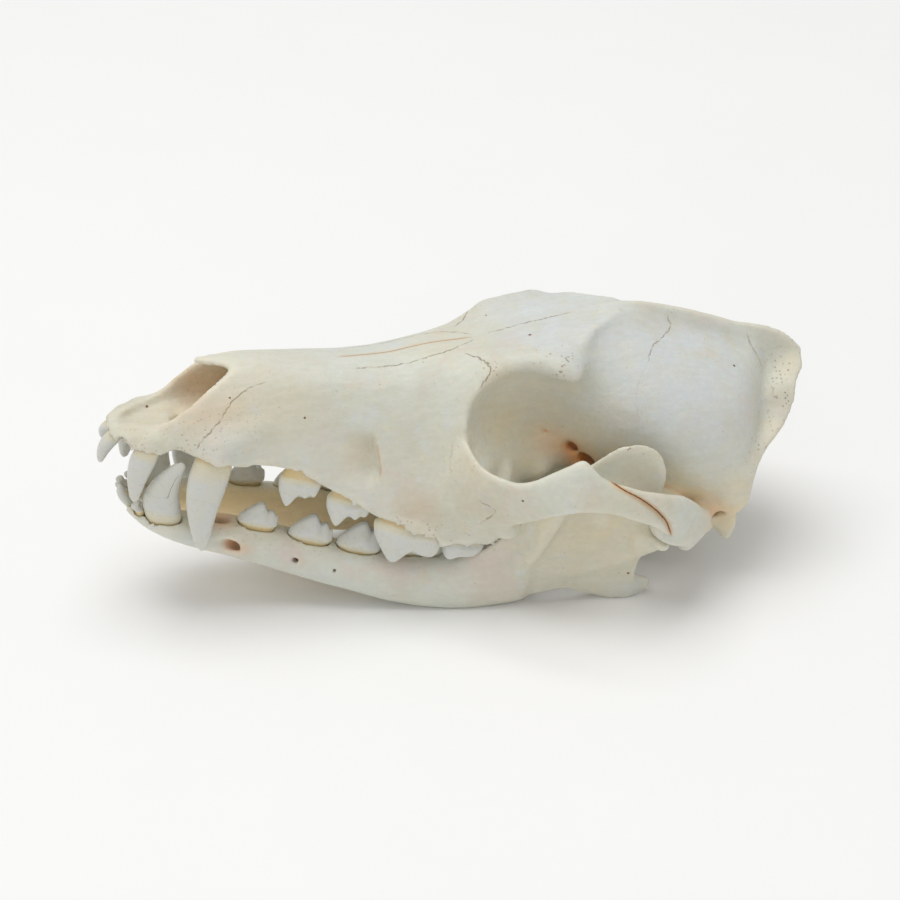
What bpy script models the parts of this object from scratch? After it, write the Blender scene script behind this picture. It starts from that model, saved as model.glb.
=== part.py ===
# Coyote skull with its lower jaw and teeth, lying on the lower jaw as it would on a table.
# Skull frame used below, in millimetres: s runs back from the front of the upper jaw,
# y is the distance from the middle plane, and h is the height.
import math

import bmesh
import bpy
import numpy as np
from mathutils import Matrix, Vector

MM = 0.001
NOSE_UP = math.radians(13.6)
PIVOT_S = 95.0
PIVOT_H = 25.0
CENTRE_X = -2.29
GROUND_Z = -55.2
RING_POINTS = 13
STEPS_BETWEEN = 3
BONE_VOXEL = 0.95
JAW_VOXEL = 0.8
CRANIUM_RATIO = 0.02
JAW_RATIO = 0.02
HOLLOW_RATIO = 0.03
BLADE_SIDES = 12
TUBE_SIDES = 14
LUMP_RINGS = 9
LUMP_POLE = 0.12
BULLA_TILT = -0.25
GROUND_BLOCK = (0.3, 0.2, 0.02)
SOCKET_GAP = 0.32
SOCKET_TOP = 0.55
SOCKET_REACH = 4.0
TOOTH_SIDES = 8
CANINE_BOW = 2.4
LOW_CROWN = 4.2
INCISOR_ROOT = 2.6
# Levels of a tooth: share of the height, share of the length, share of the width.
CROWN_LEVELS = [(-1, 0.5, 0.5), (0.0, 0.84, 0.84), (0.3, 1.0, 1.0), (1.0, 0.82, 0.24)]
LOW_LEVELS = [(-1, 0.5, 0.5), (0.0, 0.76, 0.72), (0.5, 1.0, 1.0), (1.0, 0.8, 0.8)]
CANINE_LEVELS = [(-1, 0.8, 0.8), (0.0, 0.98, 0.98), (0.3, 0.86, 0.88), (0.65, 0.56, 0.6), (1.0, 0.12, 0.14)]

BONE_COLOUR = (0.86, 0.81, 0.70, 1.0)
JAW_COLOUR = (0.85, 0.79, 0.68, 1.0)
ENAMEL_COLOUR = (0.90, 0.87, 0.78, 1.0)

# Half outlines of the cranium from the top middle line down the side to the bottom middle line.
CRANIUM_SECTIONS = [
    (-1.8, [(0, 6.8), (3.4, 6.4), (6.2, 5.4), (6.6, 3.4), (4.4, 2.0), (0, 1.8)]),
    (3.0, [(0, 7.8), (5.4, 7.8), (9.2, 6.8), (10.4, 4.2), (8.8, 1.8), (4.0, 1.8), (0, 2.6)]),
    (8.0, [(0, 8.4), (6.2, 8.4), (9.8, 7.4), (12.0, 5.0), (11.8, 2.6), (7.0, 2.2), (0, 4.6)]),
    (14.0, [(0, 11.8), (8.2, 11.8), (10.6, 10.4), (12.6, 6.8), (12.8, 4.2), (8.0, 3.2), (0, 5.4)]),
    (17.5, [(0, 16.6), (8.6, 16.4), (10.6, 14.6), (12.6, 8.6), (13.2, 5.4), (8.0, 4.8), (0, 6.8)]),
    (21.0, [(0, 27.2), (3.0, 26.6), (6.5, 24.4), (9.2, 22.4), (11.0, 18.6), (13.6, 10.6), (15.0, 5.6),
            (12.0, 4.0), (7.0, 5.4), (0, 7.4)]),
    (27.0, [(0, 29.0), (3.8, 28.0), (7.2, 25.6), (10.6, 20.6), (14.4, 13.6), (17.4, 7.6), (17.6, 4.2),
            (13.0, 2.4), (8.0, 5.2), (0, 7.6)]),
    (34.0, [(0, 30.0), (4.4, 29.0), (8.6, 25.6), (11.8, 19.6), (14.4, 12.6), (15.8, 6.6), (15.4, 2.8),
            (12.6, 1.2), (9.0, 5.2), (0, 7.6)]),
    (45.0, [(0, 31.2), (5.0, 30.2), (9.4, 27.0), (12.6, 21.0), (15.0, 13.0), (16.8, 7.0), (16.9, 3.6),
            (14.0, 2.2), (9.4, 5.6), (0, 7.4)]),
    (58.0, [(0, 32.2), (5.4, 31.4), (10.4, 28.4), (14.0, 22.0), (16.8, 13.4), (19.2, 6.0), (20.0, 1.6),
            (16.6, 0.4), (10.4, 3.8), (0, 5.4)]),
    (70.0, [(0, 34.8), (5.6, 34.2), (11.0, 31.0), (15.2, 25.0), (18.4, 16.0), (20.8, 8.0), (23.6, 0.0),
            (23.0, -2.6), (18.0, -3.6), (11.6, 1.2), (0, 3.0)]),
    (82.0, [(0, 39.2), (5.6, 38.9), (11.6, 35.6), (16.2, 29.4), (19.6, 22.0), (23.0, 12.0), (26.8, 1.0),
            (28.0, -5.2), (23.0, -7.4), (14.6, -2.6), (0, 0.4)]),
    (90.0, [(0, 41.4), (6.2, 41.3), (12.6, 39.0), (16.6, 35.0), (20.2, 29.0), (24.2, 20.0), (28.0, 6.0),
            (29.0, -7.4), (22.6, -8.8), (14.6, -3.8), (0, -1.2)]),
    (95.0, [(0, 42.6), (7.6, 42.6), (13.8, 40.8), (15.6, 38.4), (14.8, 34.0), (15.2, 27.0), (18.6, 19.0),
            (24.0, 11.0), (27.6, 2.0), (28.0, -8.6), (21.4, -9.2), (14.0, -4.4), (0, -2.2)]),
    (100.0, [(0, 45.0), (9.0, 45.0), (14.6, 42.6), (15.6, 40.8), (13.8, 37.6), (12.8, 30.0), (13.4, 21.0),
             (18.4, 13.6), (24.4, 6.0), (26.6, -2.0), (26.2, -8.6), (20.4, -9.4), (13.6, -4.8), (0, -2.8)]),
    (106.0, [(0, 47.6), (11.0, 47.8), (17.0, 46.4), (18.2, 44.8), (14.6, 41.0), (12.2, 34.0), (11.8, 24.0),
             (13.0, 14.0), (17.6, 7.0), (22.0, -1.0), (23.2, -7.6), (19.0, -8.4), (12.6, -3.4), (0, -1.0)]),
    (112.0, [(0, 50.0), (12.0, 50.0), (19.0, 48.2), (21.2, 46.6), (16.6, 43.4), (13.0, 37.0), (12.0, 28.0),
             (11.0, 18.0), (10.4, 10.0), (9.6, 3.0), (7.0, 4.0), (4.0, 8.0), (0, 9.0)]),
    (118.0, [(0, 52.4), (12.0, 52.0), (20.6, 48.6), (26.2, 45.8), (24.4, 43.8), (16.4, 41.4), (13.2, 36.0),
             (12.4, 27.0), (11.0, 18.0), (9.0, 11.0), (5.0, 9.0), (0, 9.0)]),
    (124.0, [(0, 54.8), (8.0, 54.2), (13.4, 50.6), (17.0, 46.0), (17.2, 41.0), (16.6, 35.0), (16.4, 27.0),
             (14.0, 17.0), (10.0, 10.4), (5.0, 8.4), (0, 8.4)]),
    (131.0, [(0, 57.2), (4.6, 56.4), (9.6, 53.2), (16.0, 47.4), (20.2, 40.0), (21.4, 32.0), (19.8, 22.0),
             (14.0, 12.4), (7.0, 8.4), (0, 8.0)]),
    (140.0, [(0, 58.6), (1.8, 57.8), (6.0, 54.8), (15.0, 50.4), (22.4, 43.4), (25.8, 35.0), (25.6, 26.0),
             (21.6, 17.0), (14.0, 10.4), (7.0, 8.0), (0, 7.8)]),
    (150.0, [(0, 58.4), (1.4, 57.4), (4.4, 54.0), (14.0, 50.6), (23.0, 44.4), (28.0, 36.4), (28.8, 28.0),
             (26.0, 18.0), (19.0, 9.4), (9.0, 7.0), (0, 7.2)]),
    (160.0, [(0, 57.2), (1.4, 56.2), (4.0, 52.8), (14.0, 49.4), (23.0, 43.4), (28.0, 35.6), (29.2, 27.0),
             (27.4, 17.6), (21.0, 9.0), (10.0, 6.4), (0, 6.8)]),
    (169.0, [(0, 55.8), (1.6, 54.8), (4.4, 50.6), (13.0, 47.4), (20.6, 42.0), (25.6, 35.0), (27.6, 26.0),
             (27.4, 17.0), (22.6, 9.0), (11.0, 6.4), (0, 6.8)]),
    (176.0, [(0, 54.0), (3.0, 52.0), (7.4, 48.0), (13.0, 44.0), (18.6, 38.0), (22.4, 31.0), (24.6, 23.0),
             (24.6, 15.0), (19.0, 8.4), (9.6, 6.6), (0, 7.2)]),
    (182.0, [(0, 46.0), (5.0, 44.6), (10.6, 40.0), (15.0, 33.0), (17.0, 25.0), (15.6, 16.0), (10.6, 9.6),
             (5.0, 8.4), (0, 8.6)]),
    (185.5, [(0, 38.0), (4.0, 36.8), (8.0, 32.0), (9.6, 25.0), (8.0, 18.0), (4.0, 14.6), (0, 14.2)]),
]

# Cheek arch: for each station the upper edge, the lower edge (s, y, h) and the thickness.
ARCH = [
    ((90.0, 24.0, 24.0), (88.0, 27.0, 0.0), 4.0),
    ((95.0, 27.6, 21.6), (95.0, 28.0, -2.0), 5.0),
    ((99.0, 32.4, 19.6), (101.0, 29.6, -1.0), 5.6),
    ((105.0, 37.0, 20.6), (107.0, 33.0, 2.6), 6.0),
    ((111.0, 41.2, 25.2), (112.0, 39.0, 9.6), 5.6),
    ((118.0, 44.0, 32.0), (119.0, 45.6, 16.4), 5.0),
    ((124.0, 46.2, 29.6), (127.0, 48.4, 18.4), 5.2),
    ((131.0, 47.6, 28.0), (134.0, 48.6, 18.2), 5.4),
    ((138.0, 46.6, 26.6), (141.0, 46.8, 15.4), 5.4),
    ((146.0, 43.0, 24.2), (147.4, 43.8, 11.0), 5.6),
    ((152.0, 38.4, 21.0), (151.0, 41.0, 7.4), 6.6),
    ((157.0, 33.0, 18.6), (154.0, 37.0, 6.0), 8.0),
    ((161.0, 27.0, 17.0), (157.0, 31.0, 7.0), 8.0),
]

# Joint plate for the jaw and the ridge behind it: centre, half sizes.
GLENOID = [
    ((151.0, 36.5, 8.4), (5.4, 7.6, 3.2)),
    ((156.2, 34.6, 5.2), (2.4, 6.0, 4.2)),
    ((152.0, 29.0, 10.0), (7.0, 7.0, 4.6)),
]
BULLA = ((165.5, 15.6, 6.6), (11.6, 8.6, 7.6))
EAR_TUBE = ((165.6, 24.6, 9.6), (4.6, 4.6, 4.6))
MASTOID = ((173.0, 24.6, 16.0), (5.4, 5.0, 10.4))
CONDYLE = ((180.6, 8.4, 14.6), (4.6, 4.6, 6.6))
# Small hooks and plates under the cranium: upper edge, lower edge, thickness per station.
PAROCCIPITAL = [
    ((171.0, 22.0, 12.0), (171.0, 20.0, 3.0), 6.0),
    ((175.0, 23.4, 12.0), (175.0, 20.8, 0.4), 5.6),
    ((178.0, 23.0, 9.0), (177.6, 21.6, -2.2), 3.6),
    ((179.8, 22.0, 4.0), (179.0, 21.6, -1.6), 2.2),
]
PTERYGOID = [
    ((104.0, 12.4, 6.0), (104.0, 13.0, -4.0), 3.4),
    ((112.0, 11.0, 12.0), (113.0, 10.0, -1.0), 2.6),
    ((122.0, 9.6, 13.0), (122.0, 8.6, 0.6), 2.4),
    ((131.0, 9.4, 12.0), (131.0, 8.2, 0.6), 2.4),
    ((135.0, 9.4, 10.0), (137.4, 8.4, -1.0), 2.0),
]
ALA = [
    ((130.0, 12.0, 16.0), (129.0, 10.0, 8.0), 4.0),
    ((140.0, 17.0, 16.0), (139.0, 13.0, 6.8), 5.0),
    ((150.0, 24.0, 15.0), (149.0, 18.0, 6.0), 6.0),
]
# Crest round the back of the skull: edge point, inner point, thickness.
NUCHAL = [
    ((190.0, 0.0, 50.0), (178.0, 0.0, 46.0), 4.4),
    ((190.2, 5.0, 47.6), (178.6, 4.0, 42.0), 4.0),
    ((187.8, 10.2, 44.6), (177.0, 9.0, 38.6), 3.6),
    ((185.0, 14.6, 41.2), (175.0, 13.6, 34.6), 3.4),
    ((183.2, 18.0, 37.2), (172.6, 17.0, 30.6), 3.4),
    ((178.6, 23.6, 34.0), (170.6, 20.0, 27.0), 3.4),
    ((176.0, 27.4, 28.4), (169.6, 22.0, 23.0), 3.6),
    ((174.4, 28.8, 21.4), (168.6, 23.0, 18.6), 4.0),
    ((174.6, 28.0, 14.4), (168.4, 22.6, 14.0), 4.6),
]
SAGITTAL = [
    ((128.0, 0.0, 57.2), (128.0, 0.0, 50.0), 4.0),
    ((136.0, 0.0, 58.8), (136.0, 0.0, 50.0), 2.6),
    ((146.0, 0.0, 59.2), (146.0, 0.0, 50.0), 2.2),
    ((158.6, 0.0, 57.8), (158.6, 0.0, 48.0), 2.2),
    ((166.8, 0.0, 56.2), (167.0, 0.0, 46.0), 2.4),
    ((174.4, 0.0, 56.8), (174.0, 0.0, 44.0), 2.8),
    ((181.4, 0.0, 55.4), (178.0, 0.0, 42.0), 3.2),
    ((186.6, 0.0, 53.2), (181.0, 0.0, 42.0), 3.4),
    ((190.4, 0.0, 50.0), (183.0, 0.0, 42.0), 3.6),
]

# Passage behind the nostrils: s, half width, lower and upper h.
NOSE_HOLLOW = [
    (2.0, 1.2, 7.0, 30.0),
    (4.0, 2.6, 6.6, 34.0),
    (9.0, 5.2, 6.8, 34.0),
    (14.0, 7.0, 7.6, 34.0),
    (18.6, 7.6, 7.6, 34.0),
    (19.6, 7.6, 7.6, 25.6),
    (27.0, 7.6, 8.6, 27.0),
    (34.0, 7.6, 9.6, 27.6),
    (46.0, 7.6, 9.6, 28.4),
    (62.0, 8.0, 8.6, 29.6),
]
# Side openings of the nostrils: s, inner y, outer y, lower and upper h.
NOSE_WINDOW = [
    (18.0, 2.0, 7.6, 16.0, 34.0),
    (20.6, 2.4, 7.4, 18.0, 34.0),
    (24.0, 3.2, 6.4, 20.0, 34.0),
    (28.0, 4.2, 4.8, 24.0, 34.0),
]
# Opening for the spinal cord: s, half width, lower and upper h.
NECK_HOLE = [
    (150.0, 3.0, 14.0, 20.0),
    (158.0, 8.0, 11.0, 27.0),
    (170.0, 9.0, 11.0, 30.0),
    (180.0, 8.4, 12.0, 28.0),
    (194.0, 9.0, 11.0, 30.0),
]

# Lower jaw: (s, lean of the middle y, top h, bottom h, half thickness).
JAW_BODY = [
    (7.0, 4.2, -16.9, -19.0, 3.2),
    (10.0, 5.2, -16.7, -21.0, 4.2),
    (14.0, 6.4, -16.8, -23.0, 5.0),
    (20.0, 7.8, -17.2, -24.4, 6.0),
    (28.0, 8.8, -16.8, -26.6, 5.0),
    (37.0, 10.2, -16.6, -28.0, 4.4),
    (49.0, 11.8, -17.4, -29.6, 4.4),
    (60.0, 13.8, -18.4, -31.0, 4.8),
    (72.0, 16.2, -18.6, -32.0, 5.2),
    (84.0, 18.2, -17.6, -32.8, 5.8),
    (94.0, 20.4, -15.4, -32.4, 5.8),
    (102.0, 22.4, -12.8, -30.8, 5.2),
    (110.0, 24.2, -10.6, -27.6, 4.6),
    (118.0, 26.0, -9.0, -24.0, 3.2),
]
RAMUS = [
    ((99.0, 24.4, -14.0), (99.0, 21.8, -31.4), 4.4),
    ((105.6, 27.6, -6.4), (108.0, 24.0, -29.0), 4.0),
    ((112.0, 29.4, 4.6), (116.0, 25.4, -26.2), 4.0),
    ((119.0, 32.0, 16.6), (123.0, 26.4, -22.6), 3.8),
    ((125.6, 34.2, 27.0), (130.0, 27.0, -20.2), 3.4),
    ((131.0, 36.0, 33.8), (137.0, 27.5, -19.2), 3.2),
    ((138.0, 36.6, 34.8), (142.6, 28.0, -19.8), 3.0),
    ((143.6, 36.4, 30.6), (147.4, 28.6, -19.6), 2.8),
]
COND_NECK = ((145.4, 33.6, 1.0), (4.0, 4.2, 5.0))
JAW_CONDYLE = ((148.0, 36.0, 0.8), (3.2, 8.4, 3.0))
ANGULAR = [
    ((140.0, 28.8, -10.0), (138.0, 27.6, -19.2), 5.0),
    ((146.0, 28.8, -11.0), (146.0, 28.2, -20.4), 4.4),
    ((150.6, 28.6, -12.4), (150.6, 28.2, -19.2), 3.4),
    ((153.6, 28.4, -13.6), (153.4, 28.2, -16.8), 2.2),
]

# Teeth: name, s, y, h of the neck, length, width, turn out from the row in degrees,
# lean of the tip (s, y), cusps as (place along the crown from -1 front to 1 back, height).
UPPER_TEETH = [
    ("incisor_1", 0.6, 2.6, 2.6, 3.8, 4.2, 70, (-3.0, 0.4), [(-1, 4.0), (0, 8.6), (1, 4.0)]),
    ("incisor_2", 2.9, 7.3, 2.8, 3.8, 4.4, 50, (-2.2, 1.0), [(-1, 4.0), (0, 9.2), (1, 4.0)]),
    ("incisor_3", 8.8, 10.2, 2.6, 6.6, 5.0, 24, (-0.6, 1.6), [(-1, 6.0), (0.1, 15.6), (1, 6.0)]),
    ("canine", 26.6, 13.8, 3.0, 10.2, 6.2, 8, (1.4, 4.0), [(-1, 9.0), (0.0, 26.0), (1, 9.0)]),
    ("premolar_1", 39.0, 13.4, 1.6, 5.0, 3.6, 6, (0.0, 0.4), [(-1, 1.6), (-0.1, 4.4), (1, 1.6)]),
    ("premolar_2", 51.2, 15.6, 0.8, 11.8, 4.4, 9, (0.0, 0.6),
     [(-1, 1.8), (-0.1, 7.8), (0.5, 3.6), (1, 2.2)]),
    ("premolar_3", 65.4, 18.6, -1.4, 12.4, 5.0, 13, (0.0, 0.8),
     [(-1, 2.0), (-0.05, 8.6), (0.45, 4.6), (0.7, 4.8), (1, 2.6)]),
    ("premolar_4", 82.2, 24.2, -5.0, 19.4, 6.8, 14, (0.0, 1.4),
     [(-1, 3.0), (-0.15, 11.4), (0.2, 7.4), (0.6, 8.4), (1, 4.0)]),
    ("molar_1", 97.8, 20.0, -8.4, 10.0, 12.6, -6, (0.0, 0.0),
     [(-1, 1.6), (-0.45, 3.4), (0, 2.4), (0.5, 3.0), (1, 1.6)]),
    ("molar_2", 106.6, 17.4, -7.8, 4.4, 9.0, -6, (0.0, 0.0), [(-1, 1.0), (-0.3, 2.0), (0.4, 1.8), (1, 1.0)]),
]
LOWER_TEETH = [
    ("incisor_1", 7.8, 2.6, -17.6, 2.0, 2.6, 84, (-2.6, 0.0), [(-1, 3.0), (0, 5.0), (1, 3.0)]),
    ("incisor_2", 8.4, 5.7, -17.6, 2.2, 2.8, 76, (-2.6, 0.2), [(-1, 3.0), (0, 5.4), (1, 3.0)]),
    ("incisor_3", 10.2, 8.7, -17.2, 2.6, 2.8, 52, (-1.8, 0.8), [(-1, 3.0), (0, 5.6), (1, 3.0)]),
    ("canine", 18.6, 8.8, -17.0, 10.6, 5.8, 8, (0.6, 3.4), [(-1, 8.0), (0.0, 19.4), (1, 8.0)]),
    ("premolar_1", 33.2, 9.8, -17.0, 4.4, 3.4, 6, (0.0, 0.2), [(-1, 1.4), (-0.2, 3.8), (1, 1.4)]),
    ("premolar_2", 43.4, 11.2, -17.2, 11.2, 4.2, 8, (0.0, 0.2),
     [(-1, 2.0), (0.0, 7.2), (0.5, 3.2), (1, 2.0)]),
    ("premolar_3", 58.4, 13.6, -18.4, 12.2, 4.8, 11, (0.0, 0.2),
     [(-1, 2.0), (-0.05, 7.4), (0.4, 4.2), (0.6, 4.4), (1, 2.2)]),
    ("premolar_4", 71.9, 16.0, -18.8, 12.0, 5.2, 12, (0.0, 0.2),
     [(-1, 2.4), (0.0, 8.6), (0.4, 5.0), (0.65, 5.0), (1, 2.4)]),
    ("molar_1", 88.7, 17.4, -17.2, 18.4, 6.4, 8, (0.0, -0.4),
     [(-1, 4.0), (-0.5, 8.4), (-0.28, 6.0), (0.0, 11.0), (0.34, 3.4), (1, 2.8)]),
    ("molar_2", 102.6, 20.6, -13.8, 7.0, 5.0, 12, (0.0, 0.0), [(-1, 1.2), (-0.3, 2.6), (0.4, 2.2), (1, 1.2)]),
    ("molar_3", 109.2, 23.4, -11.2, 3.8, 3.4, 12, (0.0, 0.0), [(-1, 0.8), (0.0, 1.6), (1, 0.8)]),
]
# The left lower first premolar and the left upper first premolar and second incisor are lost.
LOST = {"upper_left_premolar_1", "upper_left_incisor_2", "lower_left_premolar_1"}


def to_world(points):
    """Turn the skull frame to its resting tilt and to metres."""
    points = np.asarray(points, dtype=float)
    back = points[..., 0] - PIVOT_S
    high = points[..., 2] - PIVOT_H
    x = back * math.cos(NOSE_UP) + high * math.sin(NOSE_UP) - CENTRE_X
    z = -back * math.sin(NOSE_UP) + high * math.cos(NOSE_UP) - GROUND_Z
    return np.stack([x, points[..., 1], z], axis=-1) * MM


def curve_through(points, count):
    """Points evenly spaced along a smooth curve through the given ones."""
    points = np.asarray(points, dtype=float)
    before = 2 * points[:1] - points[1:2]
    after = 2 * points[-1:] - points[-2:-1]
    knots = np.concatenate([before, points, after])
    dense = []
    for i in range(len(points) - 1):
        a, b, c, d = knots[i:i + 4]
        for t in np.linspace(0.0, 1.0, 8, endpoint=False):
            dense.append(0.5 * (2 * b + (c - a) * t + (2 * a - 5 * b + 4 * c - d) * t ** 2
                                + (3 * b - a - 3 * c + d) * t ** 3))
    dense = np.array(dense + [points[-1]])
    steps = np.linalg.norm(np.diff(dense, axis=0), axis=1)
    along = np.concatenate([[0.0], np.cumsum(steps)])
    wanted = np.linspace(0.0, along[-1], count)
    return np.stack([np.interp(wanted, along, dense[:, k]) for k in range(points.shape[1])], axis=1)


def add_skin(mesh, rings, sides=(1, -1)):
    """Join closed rings of points into one capped body, and mirror it for each side asked for."""
    rings = np.asarray(rings, dtype=float)
    for side in sides:
        placed = rings.copy()
        placed[..., 1] *= side
        rows = [[mesh.verts.new(p) for p in to_world(ring)] for ring in placed]
        faces = []
        for low, high in zip(rows[:-1], rows[1:]):
            for j in range(len(low)):
                k = (j + 1) % len(low)
                faces.append(mesh.faces.new((low[j], low[k], high[k], high[j])))
        for row in (rows[0][::-1], rows[-1]):
            middle = mesh.verts.new(sum((v.co for v in row), Vector()) / len(row))
            for j in range(len(row)):
                faces.append(mesh.faces.new((row[j], row[(j + 1) % len(row)], middle)))
        volume = 0.0
        for face in faces:
            face.normal_update()
            volume += face.calc_center_median().dot(face.normal) * face.calc_area()
        if volume < 0:
            bmesh.ops.reverse_faces(mesh, faces=faces)


def add_sections(mesh, sections):
    """Body symmetric about the middle plane from half outlines at stations along s."""
    halves = np.array([curve_through(half, RING_POINTS) for _, half in sections])
    stations = np.array([s for s, _ in sections])
    table = np.concatenate([stations[:, None], halves.reshape(len(sections), -1)], axis=1)
    count = (len(sections) - 1) * STEPS_BETWEEN + 1
    table = smooth_rows(table, count)
    rings = []
    for row in table:
        half = row[1:].reshape(-1, 2)
        half[0, 0] = 0.0
        half[-1, 0] = 0.0
        near = [(row[0], y, h) for y, h in half]
        far = [(row[0], -y, h) for y, h in half[-2:0:-1]]
        rings.append(near + far)
    add_skin(mesh, rings, sides=(1,))


def smooth_rows(table, count):
    """Rows between the given ones on a smooth curve, equal steps between neighbours."""
    steps = (count - 1) // (len(table) - 1)
    before = 2 * table[:1] - table[1:2]
    after = 2 * table[-1:] - table[-2:-1]
    knots = np.concatenate([before, table, after])
    rows = []
    for i in range(len(table) - 1):
        a, b, c, d = knots[i:i + 4]
        for t in np.linspace(0.0, 1.0, steps, endpoint=False):
            rows.append(0.5 * (2 * b + (c - a) * t + (2 * a - 5 * b + 4 * c - d) * t ** 2
                               + (3 * b - a - 3 * c + d) * t ** 3))
    return np.array(rows + [table[-1]])


def add_blade(mesh, stations, sides=(1, -1)):
    """Plate with round edges that runs through pairs of edge points with a thickness."""
    table = np.array([[*upper, *lower, thick] for upper, lower, thick in stations], dtype=float)
    table = smooth_rows(table, (len(stations) - 1) * STEPS_BETWEEN + 1)
    upper = table[:, 0:3]
    lower = table[:, 3:6]
    half = table[:, 6:7] / 2
    middle = (upper + lower) / 2
    run = np.gradient(middle, axis=0)
    across = upper - lower
    normal = np.cross(run, across)
    normal /= np.linalg.norm(normal, axis=1, keepdims=True)
    rings = []
    for turn in np.linspace(0.0, 2 * math.pi, BLADE_SIDES, endpoint=False):
        reach = math.copysign(abs(math.cos(turn)) ** 0.8, math.cos(turn))
        rings.append(middle + across / 2 * reach + normal * half * math.sin(turn))
    add_skin(mesh, np.stack(rings, axis=1), sides)


def add_lump(mesh, centre, radii, tilt=0.0, sides=(1, -1)):
    """Rounded lump with its long axis leaned by tilt in the plane of s and y."""
    rings = []
    for v in np.linspace(LUMP_POLE, math.pi - LUMP_POLE, LUMP_RINGS):
        ring = []
        for u in np.linspace(0.0, 2 * math.pi, TUBE_SIDES, endpoint=False):
            s = radii[0] * math.cos(v)
            y = radii[1] * math.sin(v) * math.cos(u)
            h = radii[2] * math.sin(v) * math.sin(u)
            ring.append((centre[0] + s * math.cos(tilt) - y * math.sin(tilt),
                         centre[1] + s * math.sin(tilt) + y * math.cos(tilt), centre[2] + h))
        rings.append(ring)
    add_skin(mesh, rings, sides)


def finish(mesh, name, colour, hidden=False, roughness=0.55):
    """Make an object from a bmesh, with its own material."""
    data = bpy.data.meshes.new(name)
    mesh.to_mesh(data)
    mesh.free()
    piece = bpy.data.objects.new(name, data)
    bpy.context.collection.objects.link(piece)
    if hidden:
        piece.hide_render = True
        piece.display_type = 'WIRE'
        return piece
    material = bpy.data.materials.new(name)
    material.use_nodes = True
    shader = material.node_tree.nodes["Principled BSDF"]
    shader.inputs["Base Color"].default_value = colour
    shader.inputs["Roughness"].default_value = roughness
    shader.inputs["Metallic"].default_value = 0.0
    data.materials.append(material)
    data.shade_smooth()
    return piece


def fuse(piece, voxel):
    """Melt the overlapping shells of a bone into one closed skin."""
    remesh = piece.modifiers.new("fuse", 'REMESH')
    remesh.mode = 'VOXEL'
    remesh.voxel_size = voxel * MM
    remesh.adaptivity = 0.0
    relax = piece.modifiers.new("relax", 'SMOOTH')
    relax.factor = 0.5
    relax.iterations = 2


def thin_out(piece, ratio):
    """Fewer faces for the same form."""
    thin = piece.modifiers.new("thin", 'DECIMATE')
    thin.decimate_type = 'COLLAPSE'
    thin.ratio = ratio


def cut(piece, cutter, name):
    """Take the cutter's form out of the piece."""
    boolean = piece.modifiers.new(name, 'BOOLEAN')
    boolean.operation = 'DIFFERENCE'
    boolean.solver = 'EXACT'
    boolean.object = cutter


def tooth_rings(spec, down, grow=0.0, side=-1):
    """Rings of a tooth from its root to its cusps, or of its socket when grown.

    Each ring is an oval; on the crown its height follows the cusps along its length.
    """
    name, s, y, neck, length, width, turn, lean, cusps = spec
    angles = np.linspace(0.0, 2 * math.pi, TOOTH_SIDES, endpoint=False)
    along = np.cos(angles)
    cross = np.sin(angles)
    top = np.interp(along, [place for place, _ in cusps], [height for _, height in cusps])
    full = max(height for _, height in cusps)
    incisor = name.startswith("incisor")
    deep = INCISOR_ROOT if incisor else min(5.0, 1.6 + 0.36 * full)
    levels = CROWN_LEVELS
    if name == "canine":
        levels = CANINE_LEVELS
    elif full < LOW_CROWN:
        levels = LOW_LEVELS
    if grow:
        levels = levels[:2] + [(0.3, 1.0, 1.0), (SOCKET_TOP, 1.0, 1.0)]
    rings = []
    bow = math.radians(turn)
    for level, part_long, part_wide in levels:
        rise = np.full(TOOTH_SIDES, -deep - grow) if level < 0 else top * level
        if name == "canine" and level > 0:
            rise = np.full(TOOTH_SIDES, full * level)
        if level == SOCKET_TOP:
            rise = np.full(TOOTH_SIDES, max(full * level, SOCKET_REACH))
        share = rise / full if incisor else np.maximum(rise / full, 0.0)
        ls = along * (length / 2 * part_long + grow)
        lw = cross * (width / 2 * part_wide + grow)
        x = s + ls * math.cos(bow) + lw * math.sin(bow) + lean[0] * share
        if name == "canine" and not grow:
            x -= CANINE_BOW * np.sin(math.pi * share)
        w = y + ls * math.sin(bow) - lw * math.cos(bow) + lean[1] * share
        z = neck + (-rise if down else rise)
        rings.append(np.stack([x, side * w, z], axis=1))
    return rings


def make_teeth(specs, jaw, down, sockets):
    """Each tooth as its own piece, and its socket in the bone that holds it.

    Neighbouring sockets meet, so every second one goes to the other of two cutters.
    """
    for side_name, side in (("left", -1), ("right", 1)):
        for place, spec in enumerate(specs):
            name = f"{jaw}_{side_name}_{spec[0]}"
            socket = sockets[side_name][place % 2]
            add_skin(socket, np.array(tooth_rings(spec, down, SOCKET_GAP, side)), sides=(1,))
            if name in LOST:
                continue
            mesh = bmesh.new()
            add_skin(mesh, np.array(tooth_rings(spec, down, 0.0, side)), sides=(1,))
            finish(mesh, name, ENAMEL_COLOUR, roughness=0.28)


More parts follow.
